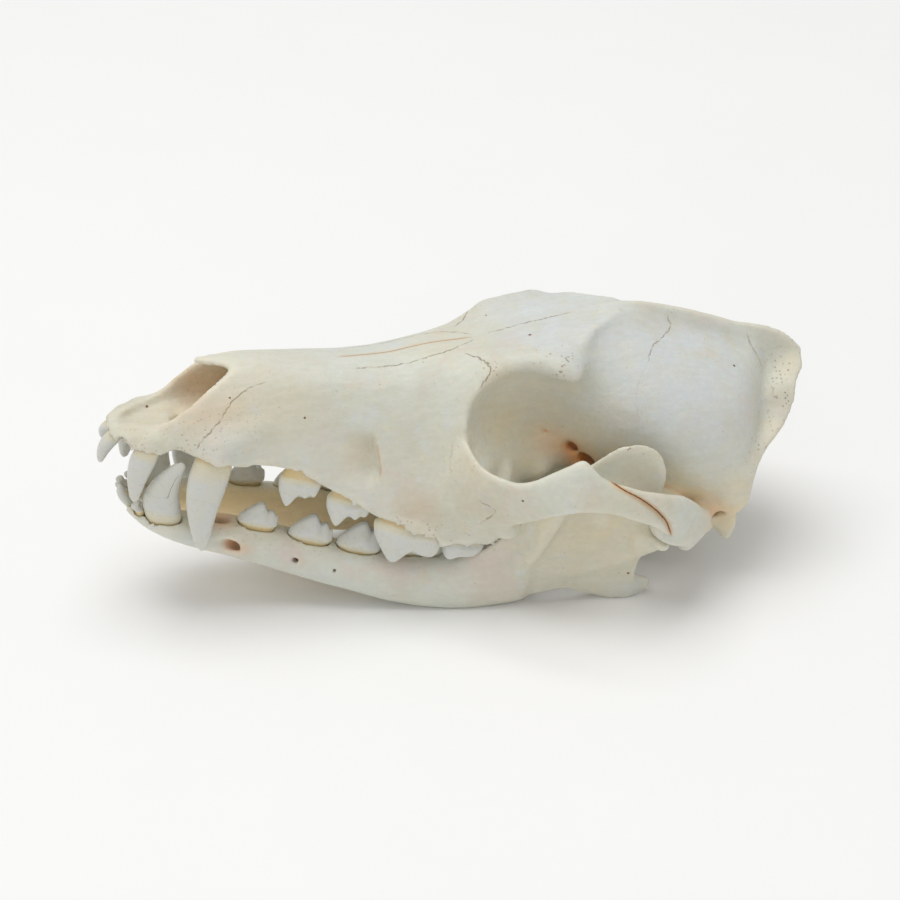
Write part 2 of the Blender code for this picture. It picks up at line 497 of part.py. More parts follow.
def make_cranium(sockets):
    """Face, braincase, cheek arches and crests as one bone."""
    mesh = bmesh.new()
    add_sections(mesh, CRANIUM_SECTIONS)
    add_blade(mesh, ARCH)
    for centre, radii in GLENOID:
        add_lump(mesh, centre, radii)
    add_lump(mesh, *BULLA, tilt=BULLA_TILT)
    add_lump(mesh, *EAR_TUBE)
    add_lump(mesh, *MASTOID)
    add_lump(mesh, *CONDYLE)
    for plate in (PAROCCIPITAL, PTERYGOID, ALA, NUCHAL):
        add_blade(mesh, plate)
    add_blade(mesh, SAGITTAL, sides=(1,))
    bone = finish(mesh, "cranium", BONE_COLOUR)
    fuse(bone, BONE_VOXEL)
    hollows = bmesh.new()
    add_passage(hollows, NOSE_HOLLOW)
    add_window(hollows)
    add_passage(hollows, NECK_HOLE)
    hollow_cutter = finish(hollows, "hollow_cutter", BONE_COLOUR, hidden=True)
    fuse(hollow_cutter, BONE_VOXEL)
    thin_out(hollow_cutter, HOLLOW_RATIO)
    thin_out(bone, CRANIUM_RATIO)
    cut(bone, hollow_cutter, "hollows")
    cut_sockets(bone, sockets)
    return bone


def cut_sockets(bone, sockets):
    """Take both sets of tooth sockets out of a bone."""
    for place, mesh in enumerate(sockets):
        cutter = finish(mesh, f"{bone.name}_sockets_{place}", BONE_COLOUR, hidden=True)
        cut(bone, cutter, f"sockets_{place}")


def add_passage(mesh, stations):
    """Oval tunnel along the middle plane."""
    rings = []
    for s, half, low, high in stations:
        ring = []
        for turn in np.linspace(0.0, 2 * math.pi, TUBE_SIDES, endpoint=False):
            ring.append((s, half * math.cos(turn), (low + high) / 2 + (high - low) / 2 * math.sin(turn)))
        rings.append(ring)
    add_skin(mesh, rings, sides=(1,))


def add_window(mesh):
    """Openings beside the nose bones, over the edges of the front upper jaw."""
    rings = []
    for s, inner, outer, low, high in NOSE_WINDOW:
        rings.append([(s, inner, low), (s, outer, low), (s, outer + 1.0, high), (s, inner, high)])
    add_skin(mesh, rings)


def make_ground():
    """Block under the height where the jaw rests, which leaves the small flats it rests on."""
    mesh = bmesh.new()
    bmesh.ops.create_cube(mesh, size=1.0, matrix=Matrix.Diagonal((*GROUND_BLOCK, 1.0)))
    bmesh.ops.translate(mesh, verts=mesh.verts, vec=(0.0, 0.0, -GROUND_BLOCK[2] / 2))
    return finish(mesh, "ground_cutter", BONE_COLOUR, hidden=True)


def make_jaw(side_name, side, sockets, ground):
    """One half of the lower jaw."""
    mesh = bmesh.new()
    table = np.array(JAW_BODY, dtype=float)
    table = smooth_rows(table, (len(JAW_BODY) - 1) * STEPS_BETWEEN + 1)
    rings = []
    for s, y, top, bottom, half in table:
        ring = []
        for turn in np.linspace(0.0, 2 * math.pi, TUBE_SIDES, endpoint=False):
            wide = half * math.copysign(abs(math.sin(turn)) ** 0.75, math.sin(turn))
            tall = math.copysign(abs(math.cos(turn)) ** 0.8, math.cos(turn))
            ring.append((s, y + wide, (top + bottom) / 2 + (top - bottom) / 2 * tall))
        rings.append(ring)
    add_skin(mesh, rings, sides=(side,))
    add_blade(mesh, RAMUS, sides=(side,))
    add_blade(mesh, ANGULAR, sides=(side,))
    add_lump(mesh, *COND_NECK, sides=(side,))
    add_lump(mesh, *JAW_CONDYLE, sides=(side,))
    name = f"mandible_{side_name}"
    bone = finish(mesh, name, JAW_COLOUR)
    fuse(bone, JAW_VOXEL)
    thin_out(bone, JAW_RATIO)
    cut_sockets(bone, sockets)
    cut(bone, ground, "rest")
    return bone


for old in list(bpy.data.objects):
    bpy.data.objects.remove(old, do_unlink=True)

upper_sockets = [bmesh.new(), bmesh.new()]
make_teeth(UPPER_TEETH, "upper", True, {"left": upper_sockets, "right": upper_sockets})
lower_sockets = {"left": [bmesh.new(), bmesh.new()], "right": [bmesh.new(), bmesh.new()]}
make_teeth(LOWER_TEETH, "lower", False, lower_sockets)
make_cranium(upper_sockets)
ground = make_ground()
make_jaw("left", -1, lower_sockets["left"], ground)
make_jaw("right", 1, lower_sockets["right"], ground)
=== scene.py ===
# Coyote skull resting on its lower jaw.
# Bones are surfaces worked out with numpy, melted together as distance fields and meshed again.
# Skull coordinates are millimetres: s back from the front teeth, y out from the middle, h up.
import math
import bpy
import numpy as np
import openvdb
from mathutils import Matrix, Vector


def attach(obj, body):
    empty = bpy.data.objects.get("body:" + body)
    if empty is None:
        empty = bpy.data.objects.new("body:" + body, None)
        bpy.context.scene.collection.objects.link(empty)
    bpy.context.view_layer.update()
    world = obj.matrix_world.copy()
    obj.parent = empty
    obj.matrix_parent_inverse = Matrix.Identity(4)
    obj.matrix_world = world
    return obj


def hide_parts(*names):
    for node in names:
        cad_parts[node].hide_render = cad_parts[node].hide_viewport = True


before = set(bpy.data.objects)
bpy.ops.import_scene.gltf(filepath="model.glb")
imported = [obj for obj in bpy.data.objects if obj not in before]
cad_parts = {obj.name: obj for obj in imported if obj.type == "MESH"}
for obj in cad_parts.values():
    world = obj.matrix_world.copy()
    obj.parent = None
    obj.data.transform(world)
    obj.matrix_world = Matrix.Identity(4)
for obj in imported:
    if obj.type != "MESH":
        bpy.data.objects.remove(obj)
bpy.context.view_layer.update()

# How the skull lies: nose tilted up round a pivot, then moved to the frame of the solids.
restPose = {"noseUp": 13.6, "pivotS": 95.0, "pivotH": 25.0, "shiftX": 2.29, "lift": 55.2}
farOff = 9.0  # millimetres, stands for no seam or crack near


def restHeight(s, h):
    # height over the table in skull millimetres: -(s - s0) sin t + (h - h0) cos t + lift
    tilt = math.radians(restPose["noseUp"])
    back, high = s - restPose["pivotS"], h - restPose["pivotH"]
    return -back * math.sin(tilt) + high * math.cos(tilt) + restPose["lift"]


def toWorld(points):
    # x = (s - s0) cos t + (h - h0) sin t + shift, y as it is, z = the height over the table, in metres
    s, y, h = np.moveaxis(np.asarray(points, dtype=float), -1, 0)
    tilt = math.radians(restPose["noseUp"])
    back, high = s - restPose["pivotS"], h - restPose["pivotH"]
    x = back * math.cos(tilt) + high * math.sin(tilt) + restPose["shiftX"]
    return np.stack([x, y, restHeight(s, h)], axis=-1) * 0.001


def signedPower(values, power):
    # the size of each value raised to a power, its sign kept
    return np.sign(values) * np.abs(values) ** power


def foldSides(points):
    # (s, |y|, h), so that one table serves both sides
    return np.abs(points) * (0, 1, 0) + points * (1, 0, 1)


def smoothRows(rows, steps):
    # Catmull-Rom spline through the rows, the same number of steps between neighbours
    rows = np.asarray(rows, dtype=float)
    knots = np.concatenate([2 * rows[:1] - rows[1:2], rows, 2 * rows[-1:] - rows[-2:-1]])
    t = np.linspace(0, 1, steps, endpoint=False)[None, :, None]
    a, b, c, d = (knots[i:len(rows) - 1 + i, None, :] for i in range(4))
    square, cube = (2 * a - 5 * b + 4 * c - d) * t ** 2, (3 * b - a - 3 * c + d) * t ** 3
    spans = 0.5 * (2 * b + (c - a) * t + square + cube)
    return np.concatenate([spans.reshape(-1, rows.shape[1]), rows[-1:]])


def evenCurve(points, count):
    # the same spline, cut into equal lengths
    dense = smoothRows(points, 10)
    along = np.concatenate([[0], np.cumsum(np.linalg.norm(np.diff(dense, axis=0), axis=1))])
    wanted = np.linspace(0, along[-1], count)
    return np.stack([np.interp(wanted, along, dense[:, k]) for k in range(dense.shape[1])], axis=1)


def makeSpace(low, high, voxel):
    # regular grid of skull coordinates, as wide to both sides: coordinate = whole number times voxel
    first = np.floor(np.array(low) / voxel).astype(int)
    last = np.ceil(np.array(high) / voxel).astype(int)
    widest = max(abs(first[1]), abs(last[1]))
    first[1], last[1] = -widest, widest
    s, y, h = ((np.arange(a, b + 1) * voxel).astype(np.float32) for a, b in zip(first, last))
    return {"voxel": voxel, "first": first, "shape": tuple(last - first + 1),
            "s": s[:, None, None], "y": y[None, :, None], "h": h[None, None, :]}


def ringSkin(rings):
    # closed skin over n rings of m points: quads between neighbours, a fan of triangles on each end
    n, m, _ = rings.shape
    points = np.concatenate([rings.reshape(-1, 3), rings[0].mean(0)[None], rings[-1].mean(0)[None]])
    i = np.arange(n - 1)[:, None] * m
    j = np.arange(m)[None, :]
    k = (j + 1) % m
    quads = np.stack([i + j, i + k, i + m + k, i + m + j], axis=-1).reshape(-1, 4)
    j, k = j[0], k[0]
    caps = np.concatenate([np.stack([k, j, np.full(m, n * m)], 1),
                           np.stack([(n - 1) * m + j, (n - 1) * m + k, np.full(m, n * m + 1)], 1)])
    return points, quads, caps


def skinField(space, rings, reach=8.0):
    # distance to the closed skin over some rings: negative inside, capped at reach
    points, quads, caps = ringSkin(np.asarray(rings, dtype=float))
    grid = openvdb.FloatGrid.createLevelSetFromPolygons(
        points.astype(np.float32), triangles=caps.astype(np.uint32), quads=quads.astype(np.uint32),
        transform=openvdb.createLinearTransform(space["voxel"]), halfWidth=reach / space["voxel"])
    field = np.empty(space["shape"], dtype=np.float32)
    grid.copyToArray(field, ijk=tuple(space["first"].tolist()))
    return field


def bothSides(field):
    # the lower of the field and its mirror image in y
    return np.minimum(field, field[:, ::-1, :])


def meltIn(field, part, k):
    # smooth union: the lower of the two fields, rounded over a width k where they meet
    mix = np.clip(0.5 + 0.5 * (field - part) / k, 0, 1)
    return field + (part - field) * mix - k * mix * (1 - mix)


def carveOut(field, part, k):
    # smooth difference: the higher of the field and the part turned inside out
    return -meltIn(-field, part, k)


def block(space, low, high):
    # slices of the grid between two corners, and their coordinates
    cuts, coords = [], []
    for name, a, b in zip(("s", "y", "h"), low, high):
        axis = space[name].ravel()
        i0, i1 = np.searchsorted(axis, (a, b))
        i0, i1 = max(i0 - 1, 0), min(i1 + 1, len(axis))
        cuts.append(slice(i0, i1))
        shape = [1, 1, 1]
        shape[len(cuts) - 1] = i1 - i0
        coords.append(axis[i0:i1].reshape(shape))
    return tuple(cuts), coords


def tubeDistance(coords, path, radii):
    # distance to a chain of cones along a path: nearest place on each span, less the radius there
    s, y, h = coords
    best = None
    for a, b, ra, rb in zip(path[:-1], path[1:], radii[:-1], radii[1:]):
        ab = b - a
        t = np.clip(((s - a[0]) * ab[0] + (y - a[1]) * ab[1] + (h - a[2]) * ab[2]) / max(ab @ ab, 1e-6), 0, 1)
        d = np.sqrt((s - a[0] - t * ab[0]) ** 2 + (y - a[1] - t * ab[1]) ** 2 + (h - a[2] - t * ab[2]) ** 2)
        d = d - (ra + (rb - ra) * t)
        best = d if best is None else np.minimum(best, d)
    return best


def eggDistance(coords, centre, radii, turn=(0, 0, 0)):
    # scaled distance to an ellipsoid turned by angles about h, y and s
    local = np.stack(np.broadcast_arrays(*[c - m for c, m in zip(coords, centre)]), axis=-1)
    a, b, c = (math.radians(v) for v in turn)
    aboutH = np.array([[math.cos(a), -math.sin(a), 0], [math.sin(a), math.cos(a), 0], [0, 0, 1]])
    aboutY = np.array([[math.cos(b), 0, math.sin(b)], [0, 1, 0], [-math.sin(b), 0, math.cos(b)]])
    aboutS = np.array([[1, 0, 0], [0, math.cos(c), -math.sin(c)], [0, math.sin(c), math.cos(c)]])
    local = local @ (aboutH @ aboutY @ aboutS)
    radii = np.array(radii, dtype=float)
    near = np.sqrt(((local / radii) ** 2).sum(-1))
    slope = np.sqrt(((local / radii ** 2) ** 2).sum(-1)) + 1e-6
    return (near * (near - 1) / slope).astype(np.float32)


def alongTube(space, field, how, path, radii, k, sides=(1, -1)):
    # melt in or carve out a tube over a width k, on each side asked for
    path = np.asarray(path, dtype=float)
    pad = max(radii) + k + 3
    for side in sides:
        there = path * np.array([1, side, 1])
        cut, coords = block(space, there.min(0) - pad, there.max(0) + pad)
        field[cut] = how(field[cut], tubeDistance(coords, there, radii), k)


def withEgg(space, field, how, centre, radii, k, turn=(0, 0, 0), sides=(1, -1)):
    # melt in or carve out an ellipsoid over a width k, on each side asked for
    pad = max(radii) + k + 3
    for side in sides:
        there = (centre[0], centre[1] * side, centre[2])
        cut, coords = block(space, np.array(there) - pad, np.array(there) + pad)
        lean = (turn[0] * side, turn[1], turn[2] * side)
        field[cut] = how(field[cut], eggDistance(coords, there, radii, lean), k)


def addForms(space, field, how, forms, sides=(1, -1)):
    # the forms of a table in turn: a tube starts with a list of places, an egg with its centre
    for form in forms:
        shape = alongTube if isinstance(form[0], list) else withEgg
        shape(space, field, how, *form, sides=sides)


def blurField(field, width):
    # separable gaussian blur, width in voxels
    if width <= 0:
        return field
    reach = int(math.ceil(width * 2.5))
    x = np.arange(-reach, reach + 1)
    weights = np.exp(-0.5 * (x / width) ** 2)
    weights = (weights / weights.sum()).astype(np.float32)
    for axis in range(3):
        padded = np.pad(field, [(reach, reach) if a == axis else (0, 0) for a in range(3)], mode="edge")
        out = np.zeros_like(field)
        for shift, weight in enumerate(weights):
            cut = [slice(None)] * 3
            cut[axis] = slice(shift, shift + field.shape[axis])
            out += weight * padded[tuple(cut)]
        field = out
    return field


def softNoise(space, scale, seed):
    # value noise: random numbers on a coarse grid, blended smoothly between
    rng = np.random.default_rng(seed)
    size = [int((n * space["voxel"]) / scale) + 4 for n in space["shape"]]
    field = rng.standard_normal(size).astype(np.float32)
    for axis, n in enumerate(space["shape"]):
        place = np.arange(n) * space["voxel"] / scale + 1
        i = place.astype(int)
        t = (place - i).astype(np.float32)
        t = t * t * (3 - 2 * t)
        shape = [1, 1, 1]
        shape[axis] = n
        t = t.reshape(shape)
        field = np.take(field, i, axis) * (1 - t) + np.take(field, i + 1, axis) * t
    return field


def sampleAt(space, field, points):
    # trilinear reading of a field at points
    place = points / space["voxel"] - space["first"]
    place = np.clip(place, 0, np.array(space["shape"]) - 1.001)
    i = place.astype(int)
    t = place - i
    out = np.zeros(len(points))
    for corner in np.ndindex(2, 2, 2):
        share = np.where(corner, t, 1 - t)
        out += share[:, 0] * share[:, 1] * share[:, 2] * field[tuple((i + corner).T)]
    return out


def largestBody(verts, quads):
    # keep the largest connected skin: labels spread over the edges until they settle
    label = np.arange(len(verts))
    edges = np.concatenate([quads[:, [0, 1]], quads[:, [1, 2]], quads[:, [2, 3]], quads[:, [3, 0]]])
    while True:
        low = np.minimum(label[edges[:, 0]], label[edges[:, 1]])
        new = label.copy()
        np.minimum.at(new, edges[:, 0], low)
        np.minimum.at(new, edges[:, 1], low)
        new = new[new]
        new = new[new]
        if np.array_equal(new, label):
            break
        label = new
    names, counts = np.unique(label, return_counts=True)
    keep = label == names[counts.argmax()]
    number = np.cumsum(keep) - 1
    return verts[keep], number[quads[keep[quads[:, 0]]]]


def meshField(space, field, name):
    # the zero surface of a field as a mesh object in the frame of the solids
    grid = openvdb.FloatGrid()
    grid.copyFromArray(np.ascontiguousarray(field), ijk=tuple(space["first"].tolist()))
    grid.transform = openvdb.createLinearTransform(space["voxel"])
    points, quads = grid.convertToQuads(isovalue=0.0)
    points, quads = largestBody(points.astype(float), quads.astype(np.int64))
    a, b, c = (points[quads[:, i]] for i in (0, 1, 2))
    if (np.cross(b - a, c - a) * a).sum() < 0:
        quads = quads[:, ::-1]
    return buildMesh(name, points, quads), points


def addObject(name, data):
    # a new object at the origin
    thing = bpy.data.objects.new(name, data)
    bpy.context.collection.objects.link(thing)
    return thing


def buildMesh(name, skullPoints, quads, triangles=None):
    # smooth mesh object from points in skull coordinates, with its place in the mesh
    mesh = bpy.data.meshes.new(name)
    verts = toWorld(skullPoints)
    mesh.vertices.add(len(verts))
    mesh.vertices.foreach_set("co", verts.ravel())
    corners = quads.ravel()
    starts = np.arange(len(quads)) * 4
    if triangles is not None:
        starts = np.concatenate([starts, len(corners) + np.arange(len(triangles)) * 3])
        corners = np.concatenate([corners, triangles.ravel()])
    mesh.loops.add(len(corners))
    mesh.loops.foreach_set("vertex_index", corners)
    mesh.polygons.add(len(starts))
    mesh.polygons.foreach_set("loop_start", starts)
    mesh.update(calc_edges=True)
    mesh.validate()
    mesh.shade_smooth()
    return addObject(name, mesh)


def setAttribute(piece, name, values):
    # one number for each point of the mesh, for the materials to read
    layer = piece.data.attributes.new(name, 'FLOAT', 'POINT')
    layer.data.foreach_set("value", np.asarray(values, dtype=np.float32))


def lineSpans(points, line):
    # for each span of a line: its start and direction, the gap from its nearest place to the points and the
    # length of that gap, how far along the line that place is, and how long the line is
    line = np.asarray(line, dtype=float)
    lengths = np.linalg.norm(np.diff(line, axis=0), axis=1)
    before = np.concatenate([[0], np.cumsum(lengths)])
    for i, start in enumerate(line[:-1]):
        span = line[i + 1] - start
        t = np.clip(((points - start) @ span) / (span @ span), 0, 1)
        gap = points - start - t[:, None] * span
        yield start, span, gap, np.linalg.norm(gap, axis=1), before[i] + t * lengths[i], before[-1]


def lineDistance(points, line):
    # nearest distance to an open line
    return np.min([away for _, _, _, away, _, _ in lineSpans(points, line)], axis=0)


def bladeRings(stations, roundness=0.8, count=28, steps=8):
    # plate between an upper and a lower rail: ring = middle + across/2 cos^0.8 u + normal thickness/2 sin u
    table = smoothRows([[*upper, *lower, thick] for upper, lower, thick in stations], steps)
    upper, lower, half = table[:, 0:3], table[:, 3:6], table[:, 6:7] / 2
    middle = (upper + lower) / 2
    across = upper - lower
    normal = np.cross(np.gradient(middle, axis=0), across)
    normal /= np.linalg.norm(normal, axis=1, keepdims=True)
    u = np.linspace(0, 2 * math.pi, count, endpoint=False)[None, :, None]
    reach = signedPower(np.cos(u), roundness)
    return middle[:, None] + across[:, None] / 2 * reach + normal[:, None] * half[:, None] * np.sin(u)


def tunnelRings(stations, count=28, steps=6):
    # oval tunnel along the middle plane: y = half cos u, h = middle + half height sin u
    table = smoothRows(stations, steps)
    u = np.linspace(0, 2 * math.pi, count, endpoint=False)[None, :]
    s = np.broadcast_to(table[:, 0:1], (len(table), count))
    y = table[:, 1:2] * np.cos(u)
    h = (table[:, 2:3] + table[:, 3:4]) / 2 + (table[:, 3:4] - table[:, 2:3]) / 2 * np.sin(u)
    return np.stack([s, y, h], axis=-1)


cranium = {
    "voxel": 0.82,
    # corners of the grid
    "low": (-8, -56, -16),
    "high": (196, 56, 66),
    # half outlines (y, h) from the top middle line to the bottom middle line, at stations s
    "sections": [
        (-1.2, [(0, 4.4), (2.2, 4.6), (4, 3.9), (4.6, 2.6), (2.8, 1.4), (0, 1.4)]),
        (1.5, [(0, 5.4), (2.6, 6.3), (5.2, 6.1), (7.2, 4.5), (7.2, 2.4), (4, 1.2), (0, 1.6)]),
        (4.5, [(0, 6.2), (3.4, 7.8), (6.2, 7.6), (9, 5.6), (9.8, 3.2), (8, 1.4), (4, 1.4), (0, 2.8)]),
        (9, [(0, 7.4), (5.8, 9), (8.6, 8.6), (11.2, 6), (11.9, 3.2), (10, 1.8), (6, 2.2), (0, 4.6)]),
        (14, [(0, 12.6), (7, 12.6), (9.2, 12), (11.4, 8.4), (12.6, 5), (11.4, 3.6), (7.4, 3.2), (0, 5.4)]),
        (17.5, [(0, 26.4), (2.6, 26.2), (6.6, 21.6), (9.3, 17.4), (11.2, 12.4), (12.8, 7.4), (13.2, 5.2),
         (8, 4.6), (0, 6.8)]),
        (21, [(0, 27.8), (2.8, 27.4), (6.2, 24.6), (9, 21.4), (11.2, 16.6), (13.6, 10), (15, 5.6), (12, 4),
         (7, 5.4), (0, 7.4)]),
        (27, [(0, 29), (3.8, 28), (7.2, 25.6), (10.6, 20.6), (14.4, 13.6), (17.4, 8), (17.6, 5), (13, 2.4),
         (8, 5.2), (0, 7.6)]),
        (34, [(0, 30), (4.4, 29), (8.6, 25.6), (11.8, 19.6), (14.4, 12.6), (15.9, 7.2), (15.6, 3.6),
         (12.8, 2.2), (9, 5.2), (0, 7.6)]),
        (45, [(0, 31.2), (5, 30.2), (9.4, 27), (12.6, 21), (15, 13.6), (16.7, 8.6), (16.9, 5.6),
         (14.2, 4.4), (9.4, 6.6), (0, 7.4)]),
        (58, [(0, 32.2), (5.4, 31.4), (10.4, 28.4), (14, 22), (16.8, 13.4), (19.2, 6.4), (20, 2.2),
         (16.8, 1.2), (10.4, 3.8), (0, 5.4)]),
        (70, [(0, 34.8), (5.6, 34.2), (11, 31), (15.2, 25), (18.4, 16), (20.8, 8), (23.6, 0), (23, -2.6),
         (18, -3.6), (11.6, 1.2), (0, 3)]),
        (82, [(0, 39.2), (5.6, 38.9), (11.6, 35.6), (16.2, 29.4), (19.6, 22), (23, 12), (26.8, 1),
         (28, -5.2), (23, -7.4), (14.6, -2.6), (0, 0.4)]),
        (90, [(0, 41.4), (6.2, 41.3), (12.6, 39), (16.6, 35), (20.2, 29), (24.2, 20), (28, 6), (29.4, -7.6),
         (22.6, -9), (14.6, -3.8), (0, -1.2)]),
        (95, [(0, 42.8), (7.6, 43), (13.6, 42.2), (16.4, 40.2), (18.8, 34.6), (21.8, 28), (24.8, 20),
         (27.4, 10), (29.2, 1), (29.4, -6.6), (22, -8.4), (14, -4.4), (0, -2.2)]),
        (100, [(0, 45.2), (9, 46), (15, 46.4), (17.4, 44.8), (19, 38), (22, 29), (25, 20), (27.8, 10),
         (29.8, 0), (29.8, -5.6), (22, -8.2), (13.6, -4.8), (0, -2.8)]),
        (106, [(0, 47.8), (11, 48.6), (17.6, 48.2), (20, 46.2), (18, 41), (14.6, 34), (13.6, 24),
         (15, 18.2), (21, 15.2), (26, 11), (29.4, 4), (30, -3.2), (21, -7.4), (12.6, -3.4), (0, -1)]),
        (112, [(0, 50.2), (12, 50.6), (19.6, 49), (22.6, 47), (18.6, 42.6), (14, 36), (12.4, 28),
         (12.6, 19.6), (16.4, 16), (19, 10.6), (16, 4.4), (7, 4), (4, 8), (0, 9)]),
        (118, [(0, 52.6), (11, 52.4), (17, 49.8), (21.6, 46.6), (21.2, 44.4), (16.6, 41), (14.2, 35),
         (12.8, 27), (13, 20), (16.6, 16), (18.6, 11), (13, 6.6), (5, 7.6), (0, 8.4)]),
        (124, [(0, 54.8), (8, 54.2), (13.4, 50.6), (17, 46), (17.2, 41), (16.6, 35), (16, 27), (14.8, 19),
         (14, 12.6), (5, 8.4), (0, 8.4)]),
        (131, [(0, 57.2), (4.6, 56.4), (9.6, 53.2), (16, 47.4), (20.2, 40), (21.4, 32), (19.8, 22),
         (14, 12.4), (7, 8.4), (0, 8)]),
        (140, [(0, 58.6), (1.8, 57.8), (6, 54.8), (15, 50.4), (22.4, 43.4), (25.8, 35), (25.6, 26),
         (21.6, 17), (14, 10.4), (7, 8), (0, 7.8)]),
        (150, [(0, 58.4), (1.4, 57.4), (4.4, 54), (14, 50.6), (23, 44.4), (28, 36.4), (28.8, 28), (26, 18),
         (19, 9.4), (9, 7), (0, 7.2)]),
        (160, [(0, 57.2), (1.4, 56.2), (4, 52.8), (14, 49.4), (23, 43.4), (28, 35.6), (29.2, 27),
         (27.4, 17.6), (21, 9), (10, 6.4), (0, 6.8)]),
        (169, [(0, 55.8), (1.6, 54.8), (4.4, 50.6), (13, 47.4), (20.6, 42), (25.6, 35), (27.6, 26),
         (27.4, 17), (22.6, 9), (11, 6.4), (0, 6.8)]),
        (174.8, [(0, 54.2), (2.6, 52.2), (6.6, 47.4), (12, 42.8), (17.4, 36.8), (21.4, 30), (23.8, 23),
         (24.4, 15), (19, 8.6), (9.6, 6.6), (0, 7.2)]),
        (179.2, [(0, 49), (3.2, 46.2), (6.6, 40.6), (9.6, 34), (10.8, 27), (9.6, 19.4), (6.6, 13),
         (3, 11.4), (0, 11.4)]),
        (181.6, [(0, 42), (2.4, 40.4), (4.4, 35), (5, 29), (4.2, 22.6), (2.2, 18.6), (0, 18)]),
    ],
    # plates melted on in this order, and over what width
    "plates": {"nuchal": 3, "sagittal": 2, "cheek": 3, "paroccipital": 2, "pterygoid": 2, "ala": 3},
    # each plate: upper edge, lower edge, thickness; the cheek arch first
    "cheek": [
        ((90.6, 24.4, 22.6), (89, 26.6, 1), 4), ((94.2, 29.2, 22.6), (94.5, 28.2, -1), 5.2),
        ((97.6, 32.8, 20.5), (100.5, 29.6, -0.6), 6), ((101.6, 36.6, 20.6), (105.4, 33, 2.6), 6),
        ((106.2, 39.6, 22.9), (109, 37.4, 7), 5.8), ((110.6, 41.9, 26.1), (112.8, 41.8, 11.8), 5.4),
        ((114.6, 43.3, 29.8), (116.2, 45.2, 15.2), 5), ((118, 44, 32.6), (120.6, 47.2, 17.8), 5),
        ((121.2, 45, 31.1), (125, 48, 18.9), 5), ((124.8, 46.3, 28.5), (129.6, 48, 18.8), 4.8),
        ((129.4, 47.1, 26.2), (134.2, 47.7, 17.7), 4.6), ((134.6, 47.1, 23.9), (138.6, 47, 16.4), 4.4),
        ((139.9, 46.3, 20.7), (142.6, 46.1, 14.9), 4), ((144.5, 45.4, 16.9), (146, 45, 12.7), 3.4),
        ((147.5, 44.6, 13.4), (148.4, 44.2, 11), 2.6), ((149.3, 44, 10.6), (149.8, 43.8, 9.8), 1.6),
    ],
    # rear root of the arch, over the jaw joint
    "temple": [
        ((123.6, 46, 28.8), (124.6, 46.3, 27.4), 2.4), ((129.1, 46.4, 27.7), (129.8, 47, 25.8), 3.2),
        ((135.3, 46, 26), (135.5, 47, 24), 3.6), ((141.2, 44.5, 24.8), (141.2, 46.2, 20.6), 4.4),
        ((146.5, 42, 23.2), (146.4, 45, 15.8), 5.2), ((151.6, 39, 21.4), (150.8, 43, 10), 6),
        ((156.8, 35.2, 17.6), (155.2, 40, 5.6), 6.6), ((160.8, 31.6, 13.4), (159.4, 36.8, 5.8), 6.6),
        ((163, 27, 12), (161.4, 32.6, 7.4), 6.4),
    ],
    # groove between the two bones of the arch
    "gapWide": 0.6,
    "gapDeep": 0.9,
    "gapLine": [
        (125.4, 46.6, 28.6), (129.8, 47.6, 26.7), (135.4, 47.8, 24.3), (140.8, 47, 21), (145.6, 45.8, 16.9),
        (148.2, 45, 13.2), (149.8, 44.2, 10.4),
    ],
    # nasal cavity: an open trough in front, closed by the nasal bones behind s = 18
    "noseTrough": [
        (2.2, [(0, 34), (1.4, 34), (1.5, 6.8), (0, 6)]),
        (4.2, [(0, 34), (4, 34), (2.9, 7.2), (1.8, 5.8), (0, 5.3)]),
        (9.5, [(0, 34), (7.6, 34), (5.9, 9.6), (4.2, 7.2), (0, 6.4)]),
        (14, [(0, 34), (9.6, 34), (7.7, 12), (6.2, 8.6), (0, 7.2)]),
        (17.6, [(0, 34), (9.8, 34), (8.2, 16.8), (7.4, 10.6), (4.4, 8), (0, 7.4)]),
        (18.4, [(0, 34), (9.8, 34), (8.2, 18), (7.6, 11), (4.4, 8), (0, 7.4)]),
    ],
    "noseHollow": [
        (17, [(0, 25.2), (3, 24.4), (6.4, 20.8), (8, 16), (7.6, 11), (4.4, 8.2), (0, 7.6)]),
        (21, [(0, 26), (3, 25.2), (6.6, 21.8), (8.6, 17), (8.8, 11.4), (5.4, 8.4), (0, 7.6)]),
        (27, [(0, 27), (4, 25.8), (7.4, 22), (9, 17), (9.4, 12), (6, 8.8), (0, 8.6)]),
        (36, [(0, 27.6), (4.6, 26), (8.4, 21.4), (9.6, 16), (8.6, 11), (5, 9.6), (0, 9.4)]),
        (48, [(0, 28.4), (4.8, 27), (8.8, 22), (10, 16), (8.6, 11), (5, 9.4), (0, 9.2)]),
        (62, [(0, 29), (5, 27.6), (9, 22.4), (10, 16), (8, 10), (4, 8.8), (0, 8.6)]),
    ],
    # side slit between the nasal bone's edge and the edge of the premaxilla
    "noseNotch": [
        ((16.6, 1.9, 28.2), (16.6, 10, 16.6), 7), ((19, 2.2, 28.4), (19.4, 9.4, 19.4), 7),
        ((22, 2.8, 28.6), (21.8, 8.2, 22.2), 5), ((25.2, 3.5, 28.5), (24.8, 6.4, 24.9), 3.6),
        ((28.4, 4.3, 28.3), (28, 4.9, 27.4), 1.4),
    ],
    # s, half width, lowest h, highest h
    "neckHole": [
        (142, 3, 14, 24), (150, 12, 11.6, 34), (162, 12, 11.6, 32), (172, 9.6, 11.4, 30),
        (180, 8.4, 12, 28), (194, 9, 11, 30),
    ],
    "paroccipital": [
        ((169, 22, 12), (169, 19.6, 3), 5), ((172.6, 23, 12), (172.4, 20.6, 0), 4.6),
        ((175.4, 23, 9.6), (175, 21.8, -2.2), 3.4), ((176.8, 22.4, 4.4), (176.4, 22, -2), 2),
    ],
    "pterygoid": [
